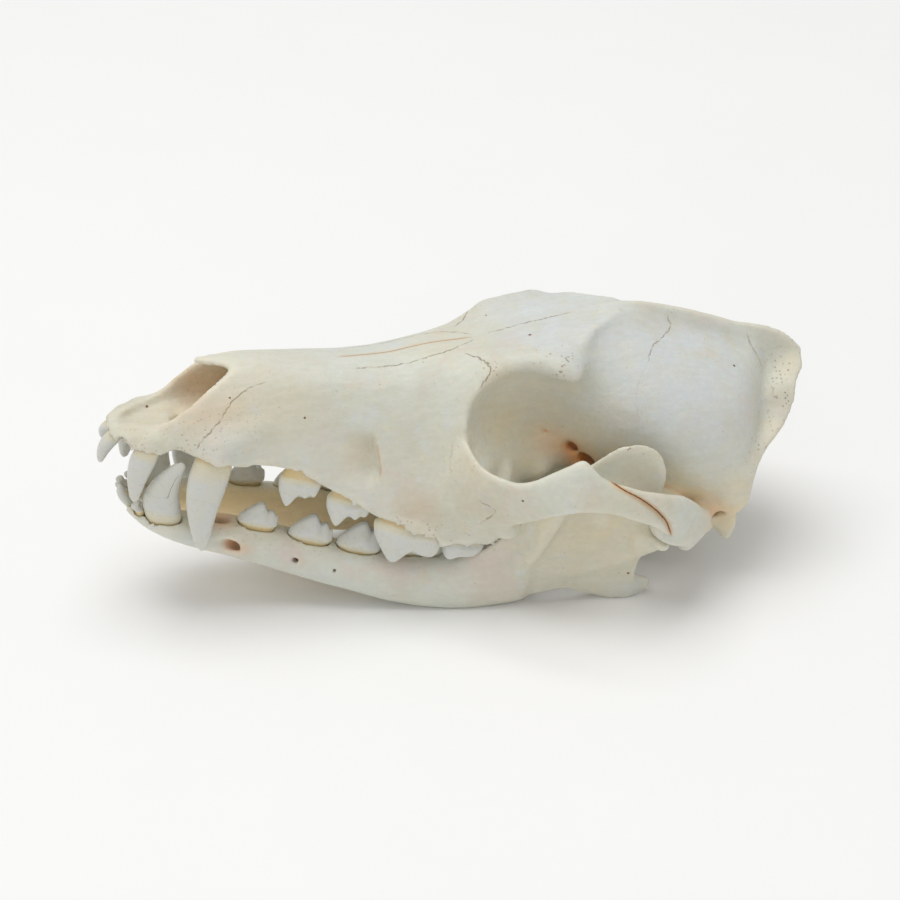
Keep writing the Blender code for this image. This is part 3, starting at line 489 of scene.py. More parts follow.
        ((104, 12.4, 6), (104, 13, -4), 3.4), ((112, 11, 12), (113, 10, -1), 2.6),
        ((122, 9.6, 13), (122, 8.6, 0.6), 2.4), ((131, 9.4, 12), (131, 8.2, 0.6), 2.4),
        ((135, 9.4, 10), (137.4, 8.4, -1), 2),
    ],
    "ala": [
        ((130, 12, 16), (129, 10, 8), 4), ((140, 17, 16), (139, 13, 6.8), 5),
        ((150, 24, 15), (149, 18, 6), 6),
    ],
    # crest round the back, then the crest along the top
    "nuchal": [
        ((190, 0, 50), (178, 0, 46), 3.4), ((190.2, 5, 47.6), (178.6, 4, 42), 3),
        ((187.9, 10.2, 44.4), (177.2, 8.8, 38), 2.6), ((187.6, 12.6, 39.6), (176.6, 10.8, 34), 2.6),
        ((186.2, 15, 35.8), (175.4, 13, 30.6), 2.6), ((183, 18.6, 32.8), (173, 16, 27.6), 2.6),
        ((179.2, 22.4, 29.8), (171, 19, 25), 2.8), ((176.4, 26, 25.4), (169.6, 21.4, 21.8), 3.2),
        ((175, 27.8, 20), (168.8, 22.8, 18), 3.8), ((174.6, 28, 14.4), (168.4, 22.6, 14), 4.6),
    ],
    "sagittal": [
        ((128, 0, 57.2), (128, 0, 50), 4), ((136, 0, 58.8), (136, 0, 50), 2.4),
        ((146, 0, 59.2), (146, 0, 50), 2), ((158.6, 0, 57.8), (158.6, 0, 48), 2),
        ((166.8, 0, 56.2), (167, 0, 46), 2.2), ((174.4, 0, 56.8), (174, 0, 44), 2.4),
        ((181.4, 0, 55.4), (178, 0, 42), 2.8), ((186.6, 0, 53.2), (181, 0, 42), 3),
        ((190, 0, 50), (183, 0, 42), 3),
    ],
    # eggs (centre, radii, melt width, turn) and tubes (path, radii, melt width) in the order they are added:
    # ear bulb and its points, neck joints, brow, temporal line, front rim of the orbit, bone round the front
    # teeth, swelling over the root of the canine
    "swellings": [
        ((165.5, 15.6, 6.6), (11.6, 8.6, 7.6), 2, (-14, 0, 0)),
        ((165, 24, 9.6), (4.4, 4.6, 4.4), 2),
        ([(166.4, 25.4, 8), (167.2, 27, 3.6)], [2.2, 1.1], 1.2),
        ((171.4, 25, 16.4), (4.8, 4.6, 8.4), 3),
        ((177.6, 11.4, 15.4), (5.2, 4.6, 7.2), 1.2, (-24, 0, 20)),
        ([(101, 13.4, 43), (106, 16, 44.2), (112, 18.2, 44.8), (117.6, 20.2, 44.8)], [2.2, 2.4, 2.4, 1.9],
         3),
        ([(118.6, 19.6, 46.4), (119.6, 15.8, 49.6), (123.8, 9.8, 54.2), (132, 3.6, 56.4)],
         [1.2, 0.7, 0.5, 0.4], 3),
        ([(94, 18.6, 36), (93.2, 21, 31.6), (92.8, 23.6, 28), (94, 26.8, 24.2), (96.8, 30.6, 21.2),
         (101.4, 35.2, 19.8)], [0.3, 1.2, 2.1, 2.6, 2.7, 2.4], 3),
        ((2.2, 2.6, 3.2), (3.2, 2.6, 2.4), 1.2),
        ((4.6, 6.4, 3.6), (3.4, 3.2, 2.7), 1.2),
        ((9.6, 9.2, 4.6), (4.4, 3.4, 3.3), 1.4),
        ([(27.6, 12.8, 6.8), (32, 12.4, 10.4), (39, 11.4, 14.8)], [4.8, 4.3, 3], 3),
    ],
    # bone point between the two roots of a tooth: how far back, share of the dip, size, melt width
    "rootPoint": {"back": 0.6, "share": 0.55, "long": 2, "wider": 0.3, "tall": 1.9, "melt": 1.2},
    "behindMolars": [((106.8, 31, 1.6), (4.4, 3.6, 3.6), 2)],
    # hollows carved in this order, and over what width
    "hollows": {"noseTrough": 0.8, "noseHollow": 0.8, "noseNotch": 0.8, "neckHole": 1.2},
    "templeMelt": 0.8,
    "lastBlur": 0.55,
    # unevenness of the surface: size of the lumps, height, seed
    "uneven": [(9, 0.1, 3), (4, 0.05, 4)],
    # jaw joint plate and the ridge behind it, then the socket of the joint
    "jointPlate": [
        ((151.6, 36, 8.8), (5.8, 7.4, 3.2), 2), ((157.4, 34.2, 6), (2.6, 5.6, 4.4), 2),
        ((152, 29, 10.6), (7, 7, 4.6), 3),
    ],
    "jointSocket": [((149.8, 35.2, 4.2), (3.5, 7, 2.8), 0.8, (0, 0, 10))],
    # orbit, then places made softer: centre, radii, blur, width of the edge
    "orbit": [((106, 27.2, 31), (15.2, 15, 15.4), 2.4)],
    "softPlaces": [((110, 17, 27), (18, 11, 13), 3, 5), ((112, 17, 48), (11, 7, 6), 1.7, 4)],
    # three openings at the back of the orbit, the ear, and the passage behind the palate
    "openings": [
        ([(123.4, 16, 19.8), (127, 13.4, 19.4), (134, 10, 19)], [1.2, 1.5, 1.4], 0.8),
        ([(127.6, 18, 16.8), (131, 14.8, 16.6), (139, 10, 15.6)], [1.6, 2.1, 1.8], 0.8),
        ([(118.2, 14.4, 27.6), (117, 13.2, 22.4), (119, 10, 20.8)], [0.3, 0.7, 0.8], 0.6),
        ([(169.6, 30, 8.4), (167.6, 20, 9)], [2, 2.5], 0.8),
    ],
    "passage": [([(122, 0, 5.6), (108, 0, 5.4), (96, 0, 8)], [5.6, 5.2, 4.4], 1.5)],
    # hollow ending at a crease below the eye
    "crease": {
        "h": [4, 6, 8.4, 11.2, 17.5, 20], "s": [68.6, 70.4, 71.5, 70.8, 68.9, 67.6], "deep": 4, "reach": 7,
        "middleH": 11.8, "tall": 6, "ahead": 0.3, "step": 1.4, "outside": 12,
    },
}


def sectionRings(sections, count=72, steps=6):
    # ring at station s = right half outline then the mirrored left half, stations joined by a spline
    half = np.array([evenCurve(points, count // 2 + 1) for _, points in sections])
    table = np.concatenate([np.array([[s] for s, _ in sections]), half.reshape(len(sections), -1)], axis=1)
    table = smoothRows(table, steps)
    half = table[:, 1:].reshape(len(table), -1, 2)
    half[:, 0, 0] = half[:, -1, 0] = 0
    other = half[:, -2:0:-1] * np.array([-1, 1])
    outline = np.concatenate([half, other], axis=1)
    s = np.broadcast_to(table[:, 0][:, None, None], outline.shape[:2] + (1,))
    return np.concatenate([s, outline], axis=2)


def softenPlace(space, field, centre, radii, blur, edge):
    # the blurred field inside an ellipsoid on both sides, blended over a width at its skin
    away = eggDistance((space["s"], np.abs(space["y"]), space["h"]), centre, radii)
    return field + (blurField(field, blur / space["voxel"]) - field) * np.clip(0.5 - away / edge, 0, 1)


def makeCranium(sockets):
    # sections, plates, eggs and tubes melted together, hollows carved out, then the zero surface
    c = cranium
    space = makeSpace(c["low"], c["high"], c["voxel"])
    field = skinField(space, sectionRings(c["sections"]))
    for name, k in c["plates"].items():
        plate = skinField(space, bladeRings(c[name]))
        field = meltIn(field, plate if name == "sagittal" else bothSides(plate), k)
    addForms(space, field, meltIn, c["swellings"])
    point = c["rootPoint"]
    for spec in teeth["upper"]:
        if spec[-1]:
            centre = (spec[1] + point["back"], spec[2], spec[3] - point["share"] * spec[-1])
            radii = (point["long"], spec[5] / 2 + point["wider"], point["tall"])
            withEgg(space, field, meltIn, centre, radii, point["melt"])
    addForms(space, field, meltIn, c["behindMolars"])
    temple = bothSides(skinField(space, bladeRings(c["temple"])))
    addForms(space, temple, meltIn, c["jointPlate"])
    addForms(space, temple, carveOut, c["jointSocket"])
    field = meltIn(field, temple, c["templeMelt"])
    addForms(space, field, carveOut, c["orbit"])
    for place in c["softPlaces"]:
        field = softenPlace(space, field, *place)
    for name, k in c["hollows"].items():
        rings = {"noseNotch": bladeRings, "neckHole": tunnelRings}.get(name, sectionRings)
        hollow = skinField(space, rings(c[name]))
        field = carveOut(field, bothSides(hollow) if name == "noseNotch" else hollow, k)
    addForms(space, field, carveOut, c["openings"])
    addForms(space, field, carveOut, c["passage"], sides=(1,))
    field = blurField(field, c["lastBlur"] / space["voxel"])
    for rings, grow in sockets:
        carveTooth(space, field, rings, grow)
    field += sum(softNoise(space, size, seed) * height for size, height, seed in c["uneven"])
    piece, points = meshField(space, field, "cranium_bone")
    groove = lineDistance(foldSides(points), smoothRows(c["gapLine"], 6))
    pressIn(piece, points, cheekHollow(points) + c["gapDeep"] * np.exp(-(groove / c["gapWide"]) ** 2))
    print("cranium", len(piece.data.polygons), "quads")
    return piece, points, space, field


def cheekHollow(points):
    # soft hollow in front of the crease below the eye: its depth falls away forwards as exp(-(t/reach)^2)
    # and up and down as a fourth power, and ends in one step at the crease, t being the distance before it
    c = cranium["crease"]
    s, y, h = points.T
    t = np.interp(h, c["h"], c["s"]) - s
    step = np.clip((t + c["ahead"]) / c["step"], 0, 1)
    fall = np.exp(-(t / c["reach"]) ** 2 - ((h - c["middleH"]) / c["tall"]) ** 4)
    return c["deep"] * step ** 2 * (3 - 2 * step) * fall * (np.abs(y) > c["outside"])


def pressIn(piece, points, depth):
    # move points towards the middle plane
    moved = points.copy()
    moved[:, 1] -= np.sign(points[:, 1]) * depth
    piece.data.vertices.foreach_set("co", toWorld(moved).ravel())
    piece.data.update()


def carveTooth(space, field, rings, grow):
    # take a tooth's own shape, a little larger, out of the bone
    corners = rings.reshape(-1, 3)
    low, high = corners.min(0) - teeth["socketReach"], corners.max(0) + teeth["socketReach"]
    cut, _ = block(space, low, high)
    first = space["first"] + np.array([part.start for part in cut])
    small = {"voxel": space["voxel"], "first": first, "shape": field[cut].shape}
    hollow = skinField(small, rings, teeth["socketReach"]) - grow
    field[cut] = carveOut(field[cut], hollow, teeth["socketMelt"])


jaw = {
    "voxel": 0.7,
    # corners of the grid
    "low": (0, -50, -40),
    "high": (160, 50, 42),
    # along the body: s, y of the middle, top h, bottom h, half thickness
    "body": [
        (7, 4.2, -16.9, -19, 3.2), (10, 5.2, -17.2, -21, 4.2), (14, 6.4, -18, -23, 5),
        (20, 7.8, -18.4, -24.4, 6), (28, 8.8, -17.2, -26.6, 5), (37, 9.6, -16.6, -28, 5),
        (49, 11, -17.4, -29.6, 5.2), (60, 13, -18.4, -31, 5.6), (72, 15.6, -18.6, -32, 5.8),
        (84, 18.2, -17.6, -32.8, 5.8), (94, 20.4, -15.4, -32.4, 5.8), (102, 22.4, -12.8, -30.8, 5.2),
        (110, 24.2, -10.6, -27.6, 4.6), (118, 26, -9, -24, 3.2),
    ],
    # plates: upper edge, lower edge, thickness
    "ramus": [
        ((99, 24.4, -14), (99, 21.8, -31.4), 4.4), ((105.6, 27.6, -6.4), (108, 24, -29), 4),
        ((112, 29.4, 4.6), (116, 25.4, -26.2), 4), ((119, 32, 16.6), (123, 26.4, -22.6), 3.8),
        ((125.6, 34.2, 27), (130, 27, -20.2), 3.4), ((131, 36, 33.8), (137, 27.5, -19.2), 3.2),
        ((137.6, 36.6, 35.2), (141.6, 28, -19.8), 3), ((142.8, 36.5, 33), (145.8, 28.4, -19.7), 2.8),
        ((146.4, 36.4, 27.8), (148.4, 28.8, -19.2), 2.4),
    ],
    "angle": [
        ((137, 28.4, -12), (134, 27.4, -18.8), 3), ((146, 28.8, -11.6), (146, 28.2, -20.4), 3.8),
        ((150.6, 28.6, -12), (150.6, 28.2, -19), 3.4), ((154.2, 28.4, -12.6), (153.8, 28.2, -16), 2.2),
    ],
    "plateMelt": 3,
    "lastBlur": 0.5,
    # unevenness of the surface: size of the lumps, height, seed
    "uneven": [(9, 0.08, 13)],
    # neck and head of the joint, front edge of the upright plate, ridge down from the joint
    "joint": [
        ((145.2, 33.6, 3.6), (3.6, 3.6, 4), 2), ((149.8, 35.2, 4.2), (2.9, 6.3, 2.1), 1.5, (0, 0, 10)),
    ],
    "ridges": [
        ([(125, 34.6, 20), (120.8, 34, 10), (118.2, 33, 2), (116.4, 30.4, -7), (113.6, 27.4, -16),
         (110.6, 25, -22)], [1.6, 2, 2.3, 2.4, 2.1, 1.4], 3),
        ([(148.6, 34.4, 1.8), (142, 31.2, -4.8), (134.7, 29.4, -9.6), (126, 28.2, -12.6)],
         [1.8, 1.8, 1.7, 1.4], 3),
    ],
    # hollow for the chewing muscle, openings of the outer side, socket of the lost tooth
    "muscleHollow": [((131, 37.4, 3), (9, 5, 13), 4)],
    "openings": [
        ([(31.6, 14.8, -21.8), (35.6, 14, -22.4), (39.7, 12.2, -23.4), (45, 10.4, -24)],
         [0.5, 1.3, 1.6, 1.2], 0.6),
        ([(54.2, 17.6, -24), (57.4, 13.6, -24.8)], [0.9, 0.8], 0.4),
        ([(65.6, 20, -24.6), (67.4, 16.8, -25.4)], [0.55, 0.5], 0.3),
    ],
    "lostSocket": [((33, 9.8, -16), (3.3, 1.5, 4), 0.6)],
    # warm tone and painted bounce light on the inner side: width over which it grows, and where it fades at
    # the front and the back
    "inside": {
        "grow": 4, "start": 0.1, "front": 16, "frontWide": 10, "back": 118, "backWide": 20, "share": 0.9,
    },
}


def jawRings(body, count=40, steps=8):
    # oval with flattened sides: y = middle + half |sin|^0.75, h = centre + half height |cos|^0.8
    table = smoothRows(body, steps)
    u = np.linspace(0, 2 * math.pi, count, endpoint=False)[None, :]
    wide, tall = signedPower(np.sin(u), 0.75), signedPower(np.cos(u), 0.8)
    s = np.broadcast_to(table[:, 0:1], (len(table), count))
    y = table[:, 1:2] + table[:, 4:5] * wide
    h = (table[:, 2:3] + table[:, 3:4]) / 2 + (table[:, 2:3] - table[:, 3:4]) / 2 * tall
    return np.stack([s, y, h], axis=-1)


def makeJaw(sideName, side, sockets):
    # one half of the lower jaw: body and plates melted together, flat where it stands on the table
    j = jaw
    space = makeSpace(j["low"], j["high"], j["voxel"])
    turned = np.array([1, side, 1])
    sides = (side,)
    field = skinField(space, jawRings(j["body"]) * turned)
    for name in ("ramus", "angle"):
        field = meltIn(field, skinField(space, bladeRings(j[name]) * turned), j["plateMelt"])
    addForms(space, field, meltIn, j["joint"] + j["ridges"], sides)
    addForms(space, field, carveOut, j["muscleHollow"], sides)
    field = blurField(field, j["lastBlur"] / space["voxel"])
    addForms(space, field, carveOut, j["openings"], sides)
    if sideName == "left":
        addForms(space, field, carveOut, j["lostSocket"], sides)
    field = np.maximum(field, -restHeight(space["s"], space["h"]))
    for rings, grow in sockets:
        carveTooth(space, field, rings, grow)
    field += sum(softNoise(space, size, seed) * height for size, height, seed in j["uneven"])
    piece, points = meshField(space, field, f"mandible_bone_{sideName}")
    print("mandible", sideName, len(piece.data.polygons), "quads")
    return piece, points, space, field


def insideShare(points):
    # share of warm tone and painted bounce light on the inner side of the jaw: it grows inwards from the
    # middle line of the body, and fades out at the front and behind the last tooth
    j = jaw["inside"]
    middle = np.interp(points[:, 0], [row[0] for row in jaw["body"]], [row[1] for row in jaw["body"]])
    inward = np.clip((middle - np.abs(points[:, 1])) / j["grow"] + j["start"], 0, 1)
    behind = np.clip((j["back"] - points[:, 0]) / j["backWide"], 0, 1)
    ahead = np.clip((points[:, 0] - j["front"]) / j["frontWide"], 0, 1)
    return inward * behind * ahead * j["share"]


# each tooth: name, s, y, h of the neck, length, width, turn out in degrees, lean of the tip (s, y), kind,
# height, cusps (place, height and reach before and behind; on a table place a, place b, height and
# spread), and how far the neck line dips between two roots
teeth = {
    # room round a tooth in its socket, and how far and how softly the socket is carved
    "gap": 0.22,
    "socketReach": 3,
    "socketMelt": 0.25,
    # points round a tooth, rings up its crown, smoothing passes
    "around": 72,
    "up": 30,
    "passes": 2,
    # rings below the neck, and how the rings crowd towards the tip
    "rootRings": 6,
    "crowd": 1.6,
    "upper": [
        ("incisor_1", 1.2, 2.7, 3, 4.4, 4.8, 70, (-2.9, 0.5), "peg", 9.4, None, 0),
        ("incisor_2", 3.4, 7, 3, 4.2, 4.6, 50, (-2.2, 1), "peg", 9.2, None, 0),
        ("incisor_3", 9, 9.9, 2.8, 7.2, 5.2, 24, (-1, 1.6), "peg", 15.8, None, 0),
        ("canine", 26.8, 13.8, 3, 11, 6.6, 8, (1.2, 4), "peg", 26, None, 0),
        ("premolar_1", 39, 13.6, 3.4, 5.2, 3.8, 6, (0, 0.4), "blade", 2.2, [(-0.1, 3.4, 0.9, 0.9)], 0),
        ("premolar_2", 51.2, 15.8, 2.2, 11.8, 4.8, 9, (0, 0.6), "blade", 2.9, [(-0.4, 6.7, 0.66, 0.46),
         (0.36, 3.4, 0.3, 0.24), (0.8, 2.6, 0.24, 0.2)], 2.2),
        ("premolar_3", 65.4, 18.6, -1.4, 12.8, 5.2, 13, (0, 0.8), "blade", 2.1, [(-0.36, 7.2, 0.7, 0.46),
         (0.38, 4.2, 0.3, 0.24), (0.82, 2.8, 0.24, 0.2)], 2),
        ("premolar_4", 82.2, 24.2, -5, 19.8, 7.2, 14, (0, 1.4), "blade", 3.2, [(-0.26, 9, 0.74, 0.46),
         (0.44, 4.6, 0.4, 0.7), (0.82, 4.4, 0.5, 0.3)], 1.6),
        ("molar_1", 97.8, 22.2, -6.6, 13, 13.8, -8, (0, 0), "table", 3.4, [(-0.62, 0.7, 2.6, 0.36),
         (0.2, 0.68, 1.6, 0.3), (-0.1, -0.4, 1.4, 0.34), (0.4, -0.6, 1, 0.3)], 0.8),
        ("molar_2", 106.8, 23, -5.4, 5.2, 10.6, -6, (0, 0), "table", 1.2, [(-0.3, 0.5, 1.2, 0.34),
         (0.3, 0.4, 1, 0.34), (0, -0.4, 0.8, 0.4)], 0.4),
    ],
    "lower": [
        ("incisor_1", 7.8, 2, -17.8, 2.2, 2.8, 84, (-2.8, 0), "peg", 5, None, 0),
        ("incisor_2", 8.8, 5, -18, 2.8, 3.6, 70, (-4.2, 0.2), "peg", 6.4, None, 0),
        ("incisor_3", 10.8, 8, -17.6, 2.8, 3.2, 52, (-1.6, 0.6), "peg", 5, None, 0),
        ("canine", 17.6, 9, -18.6, 10.8, 6, 8, (1, 3.4), "peg", 20, None, 0),
        ("premolar_1", 33.2, 9.8, -17, 4.6, 3.6, 6, (0, 0.2), "blade", 1.3, [(-0.2, 3, 0.9, 0.9)], 0),
        ("premolar_2", 43.4, 11.2, -16.6, 11.4, 4.6, 8, (0, 0.2), "blade", 2, [(0.06, 5.2, 1, 0.32),
         (0.6, 3.2, 0.22, 0.24), (0.92, 1.6, 0.2, 0.2)], 1.2),
        ("premolar_3", 58.4, 13.6, -18.4, 12.6, 5, 11, (0, 0.2), "blade", 2.1, [(0.04, 6.1, 1, 0.32),
         (0.58, 4.2, 0.22, 0.24), (0.92, 2, 0.2, 0.2)], 1.2),
        ("premolar_4", 71.9, 16, -18.8, 12.6, 5.4, 12, (0, 0.2), "blade", 2.4, [(0.12, 6.9, 1.05, 0.32),
         (0.62, 4.8, 0.22, 0.22), (0.93, 2.4, 0.2, 0.2)], 1.2),
        ("molar_1", 88.7, 17.4, -17.2, 18.6, 6.8, 8, (0, -0.4), "blade", 3, [(-0.5, 5.4, 0.5, 0.4),
         (0, 8.2, 0.34, 0.36), (0.5, 1.8, 0.3, 0.3), (0.8, 1.4, 0.3, 0.2)], 1.2),
        ("molar_2", 102.6, 20.6, -13.8, 7.2, 5.2, 12, (0, 0), "table", 1.6, [(-0.4, 0.4, 1.4, 0.3),
         (-0.4, -0.4, 1.3, 0.3), (0.4, 0.3, 0.9, 0.3)], 0),
        ("molar_3", 109.2, 23.4, -11.2, 4, 3.6, 12, (0, 0), "table", 1, [(0, 0, 0.8, 0.6)], 0),
    ],
    # share of its full height left on a worn or short tooth
    "worn": {
        "upper_right_incisor_1": 0.6, "lower_left_incisor_1": 0.7, "lower_left_incisor_3": 0.6,
        "lower_right_incisor_1": 0.6, "lower_right_incisor_2": 0.45, "lower_right_incisor_3": 0.5,
    },
    "lost": ("upper_left_premolar_1", "upper_left_incisor_2", "lower_left_premolar_1"),
    # power of the outline's corners, depth below the neck, and backward bend of the tip, by kind
    "corner": {"peg": 0.9, "blade": 0.9, "table": 0.6},
    "deep": {"incisor": 1.2, "other": 3.2},
    "bend": {"canine": 2.6, "peg": 0.9, "blade": 0, "table": 0},
    "upperCanineBend": 0.6,
    # place and width, in cos u, of the dip of the neck between two roots
    "dipPlace": 0.08,
    "dipWide": 0.26,
    # fine crack down the outer face of one canine: turn, slant, and the levels where it runs
    "crack": {
        "tooth": "tooth_lower_left_canine", "turn": 0.35, "slant": 0.5, "middle": 0.45, "from": 0.28,
        "to": 0.7,
    },
    # share of full size against level v, root to tip
    "pegLevels": [-1, 0, 0.15, 0.3, 0.5, 0.66, 0.8, 0.9, 0.96, 1],
    "pegLong": [0.8, 0.94, 1, 0.96, 0.81, 0.66, 0.51, 0.38, 0.27, 0.03],
    "bladeLevels": [-1, 0, 0.1, 0.25, 0.5, 0.75, 0.88, 0.96, 1],
    "bladeLong": [0.72, 0.92, 0.99, 1, 0.98, 0.95, 0.93, 0.91, 0.9],
    "bladeWide": [0.6, 0.84, 0.98, 1, 0.84, 0.62, 0.48, 0.32, 0.02],
    "tableLevels": [-1, 0, 0.25, 0.5],
    "tableLong": [0.7, 0.86, 1, 0.93],
}


def toothRings(spec, side, down):
    # oval of angle u and level v, sunk below the neck for v < 0.
    # peg: height = full height times v, the oval closing by a table; blade: height = (base + rounded cusps
    # of cos u) times v, closing to a ridge; table: wall up to v = 0.5, then rings shrink over a cusped top
    name, s, y, neck, length, width, turn, lean, kind, base, cusps, dip = spec
    u = np.linspace(0, 2 * math.pi, teeth["around"], endpoint=False)[None, :]
    level = np.linspace(0, 1, teeth["up"] + 1)
    root = np.linspace(-1, 0, teeth["rootRings"], endpoint=False)
    v = np.concatenate([root, 1 - (1 - level) ** teeth["crowd"]])[:, None]
    along, across = (signedPower(wave(u), teeth["corner"][kind]) for wave in (np.cos, np.sin))
    crown = np.clip(v, 0, 1)
    if kind == "peg":
        long = np.interp(v, teeth["pegLevels"], teeth["pegLong"])
        wide = long
        rise = base * crown + 0 * u
    elif kind == "blade":
        long = np.interp(v, teeth["bladeLevels"], teeth["bladeLong"])
        wide = np.interp(v, teeth["bladeLevels"], teeth["bladeWide"])
        top = 0 * u
        for place, height, ahead, behind in cusps:
            away = np.cos(u) - place  # 0.158 is the root of 0.025, so a rounded cusp keeps its height
            slope = (np.sqrt(away ** 2 + 0.025) - 0.158) / np.where(away < 0, ahead, behind)
            top = top + (height * np.clip(1 - slope, 0, 1)) ** 3
        rise = (base + top ** (1 / 3)) * crown
    else:
        inner = np.clip((crown - 0.5) * 2, 0, 1)
        long = np.interp(v, teeth["tableLevels"], teeth["tableLong"])
        long = np.maximum(long * np.sqrt(np.clip(1 - inner ** 2, 0, 1)), 0.02)
        wide = long
        rise = base * np.clip(crown * 2, 0, 1) + 0 * u
        bumps = 0 * rise
        for a, b, height, spread in cusps:
            off = (along * long - a) ** 2 + (-across * wide - b) ** 2
            bumps = bumps + height * np.exp(-off / spread ** 2)
        rise = rise + bumps * np.clip(crown * 2, 0, 1) ** 2
    deep = teeth["deep"]["incisor" if name.startswith("incisor") else "other"]
    line = dip * np.exp(-((np.cos(u) - teeth["dipPlace"]) / teeth["dipWide"]) ** 2) * np.abs(np.sin(u)) ** 0.5
    full = rise.max()
    rise = np.where(v < 0, deep * v + line * (1 + v), line * (1 - crown) + rise)
    share = rise / full
    if kind != "peg":
        share = np.maximum(share, 0)
    bow = math.radians(turn)
    ls, lw = along * length / 2 * long, across * width / 2 * wide
    x = s + ls * math.cos(bow) + lw * math.sin(bow) + lean[0] * share
    bend = teeth["bend"]["canine" if name == "canine" else kind] * np.sin(math.pi * np.maximum(share, 0))
    x = x - bend * (teeth["upperCanineBend"] if down and name == "canine" else 1)
    out = y + ls * math.sin(bow) - lw * math.cos(bow) + lean[1] * share
    h = neck + (-rise if down else rise)
    return np.stack([x, side * out, h + 0 * x], axis=-1)


def makeTooth(name, rings, spec):
    # each pass averages a point with its neighbours round the ring and along the tooth
    for _ in range(teeth["passes"]):
        rings = rings / 2 + (np.roll(rings, 1, 1) + np.roll(rings, -1, 1)) / 4
        rings[1:-1] = rings[1:-1] / 2 + (rings[2:] + rings[:-2]) / 4
    n, m, _ = rings.shape
    points, quads, caps = ringSkin(rings)
    # enclosed volume tells which way the faces point
    a, b, c = (points[quads[:, q]] for q in (0, 1, 2))
    if (np.cross(b - a, c - a) * (a - points.mean(0))).sum() < 0:
        quads, caps = quads[:, ::-1], caps[:, ::-1]
    piece = buildMesh(name, points, quads, caps)
    # crown: height over the neck, as a share of the most, negative on the root
    above = points[:, 2] - spec[3]
    setAttribute(piece, "crown", np.abs(above) * np.sign(above * above[-1]) / np.abs(above).max())
    # crack: distance across it, or far off where there is none
    line = teeth["crack"]
    angle = np.tile(np.linspace(0, 2 * math.pi, m, endpoint=False), n)
    level = np.repeat(np.linspace(-0.2, 1, n), m)
    crack = (angle - 1.5 * math.pi - line["turn"] - line["slant"] * (level - line["middle"])) * spec[4] / 2
    there = (level > line["from"]) & (level < line["to"]) & (name == line["tooth"])
    setAttribute(piece, "crack", np.concatenate([np.where(there, crack, farOff), [farOff, farOff]]))
    return piece


def makeTeeth(enamel):
    # every tooth that isn't lost, and the socket of every tooth, lost or not
    sockets = {"upper": [], "left": [], "right": []}
    for where in ("upper", "lower"):
        for sideName, side in (("left", -1), ("right", 1)):
            for spec in teeth[where]:
                name = f"{where}_{sideName}_{spec[0]}"
                left = teeth["worn"].get(name, 1)
                lean = (spec[7][0] * left, spec[7][1] * left)
                spec = (*spec[:7], lean, spec[8], spec[9] * left, *spec[10:])
                rings = toothRings(spec, side, where == "upper")
                sockets["upper" if where == "upper" else sideName].append((rings, teeth["gap"]))
                if name in teeth["lost"]:
                    continue
                piece = makeTooth("tooth_" + name, rings, spec)
                piece.data.materials.append(enamel)
                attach(piece, "root")
                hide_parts(name)
    return sockets


# colours painted on the bone as soft patches: centre (s, |y|, h), radii, strength
bonePaint = {
    "cool": [
        ((150, 22, 42), (26, 16, 18), 1), ((150, 8, 52), (24, 10, 8), 0.7),
        ((110, 6, 52), (18, 16, 9), 0.9), ((45, 6, 31), (30, 9, 6), 0.35), ((60, 18, 12), (14, 7, 9), 0.35),
        ((30, 16, 8), (10, 6, 8), 0.3), ((150, 40, 14), (9, 8, 9), 0.6),
    ],
    "warm": [
        # warm: the bone's warmer tone; in the hollows of the orbit, temple and ear also painted bounce light,
        # and the first patch, in the hollow below the eye, is painted shade
        ((65.5, 18, 11.5), (6, 5, 7), 0.6), ((108, 16, 22), (16, 12, 16), 0.75),
        ((132, 22, 16), (14, 12, 12), 0.9), ((188, 6, 47), (5, 14, 10), 0.4),
        ((182, 22, 32), (6, 10, 18), 0.4), ((176, 26, 14), (8, 9, 12), 0.8),
        ((80, 4, 40), (22, 7, 4), 0.25), ((9, 4, 8), (14, 9, 6), 0.2), ((150, 28, 18), (16, 8, 9), 0.5),
        ((96, 20, 38), (5, 7, 9), 0.4), ((92, 30, 18), (6, 7, 6), 0.35), ((165, 22, 8), (14, 12, 9), 0.9),
        ((134, 46, 22), (18, 6, 7), 0.3), ((120, 26, 46), (6, 5, 4), 0.5),
    ],
    "pink": [
        ((86, 28, 0), (14, 8, 7), 0.8), ((62, 17, 10), (16, 7, 10), 0.25), ((142, 46, 23), (6, 5, 4), 0.8),
        ((130, 26, 30), (14, 8, 10), 0.35), ((16, 14, 6), (10, 6, 4), 0.4),
        ((170, 20, 40), (12, 10, 9), 0.3),
    ],
    # painted shade: darker patches on the upper jaw over the cheek teeth, under the front of the arch and at
    # the front tip
    "dusk": [((85, 27, 1), (12, 7, 7), 0.6), ((99, 33, 9), (9, 6, 6), 0.4), ((4, 6, 4), (6, 8, 4), 0.3)],
    # orange: painted glow of light scattered in the holes of the orbit, ear and nose
    "orange": [
        ((130, 14, 16), (5, 5, 4), 1), ((126, 13, 20), (4, 4, 3), 0.7), ((120, 14, 20), (6, 5, 5), 0.35),
        ((166, 28, 10), (5, 5, 4), 0.45), ((26, 8, 14), (9, 5, 6), 0.4), ((140, 20, 12), (8, 8, 5), 0.4),
    ],
    "pores": [
        ((113, 19, 47), (8, 7, 5), 1), ((20, 15, 7), (12, 6, 5), 0.6), ((86, 27, -4), (16, 6, 5), 0.8),
        ((186, 12, 44), (8, 16, 10), 1), ((178, 22, 28), (6, 8, 12), 0.8), ((24, 13, 16), (16, 6, 9), 0.4),
        ((8, 8, 4), (10, 9, 4), 0.5), ((96, 16, 42), (5, 4, 3), 0.8),
    ],
}
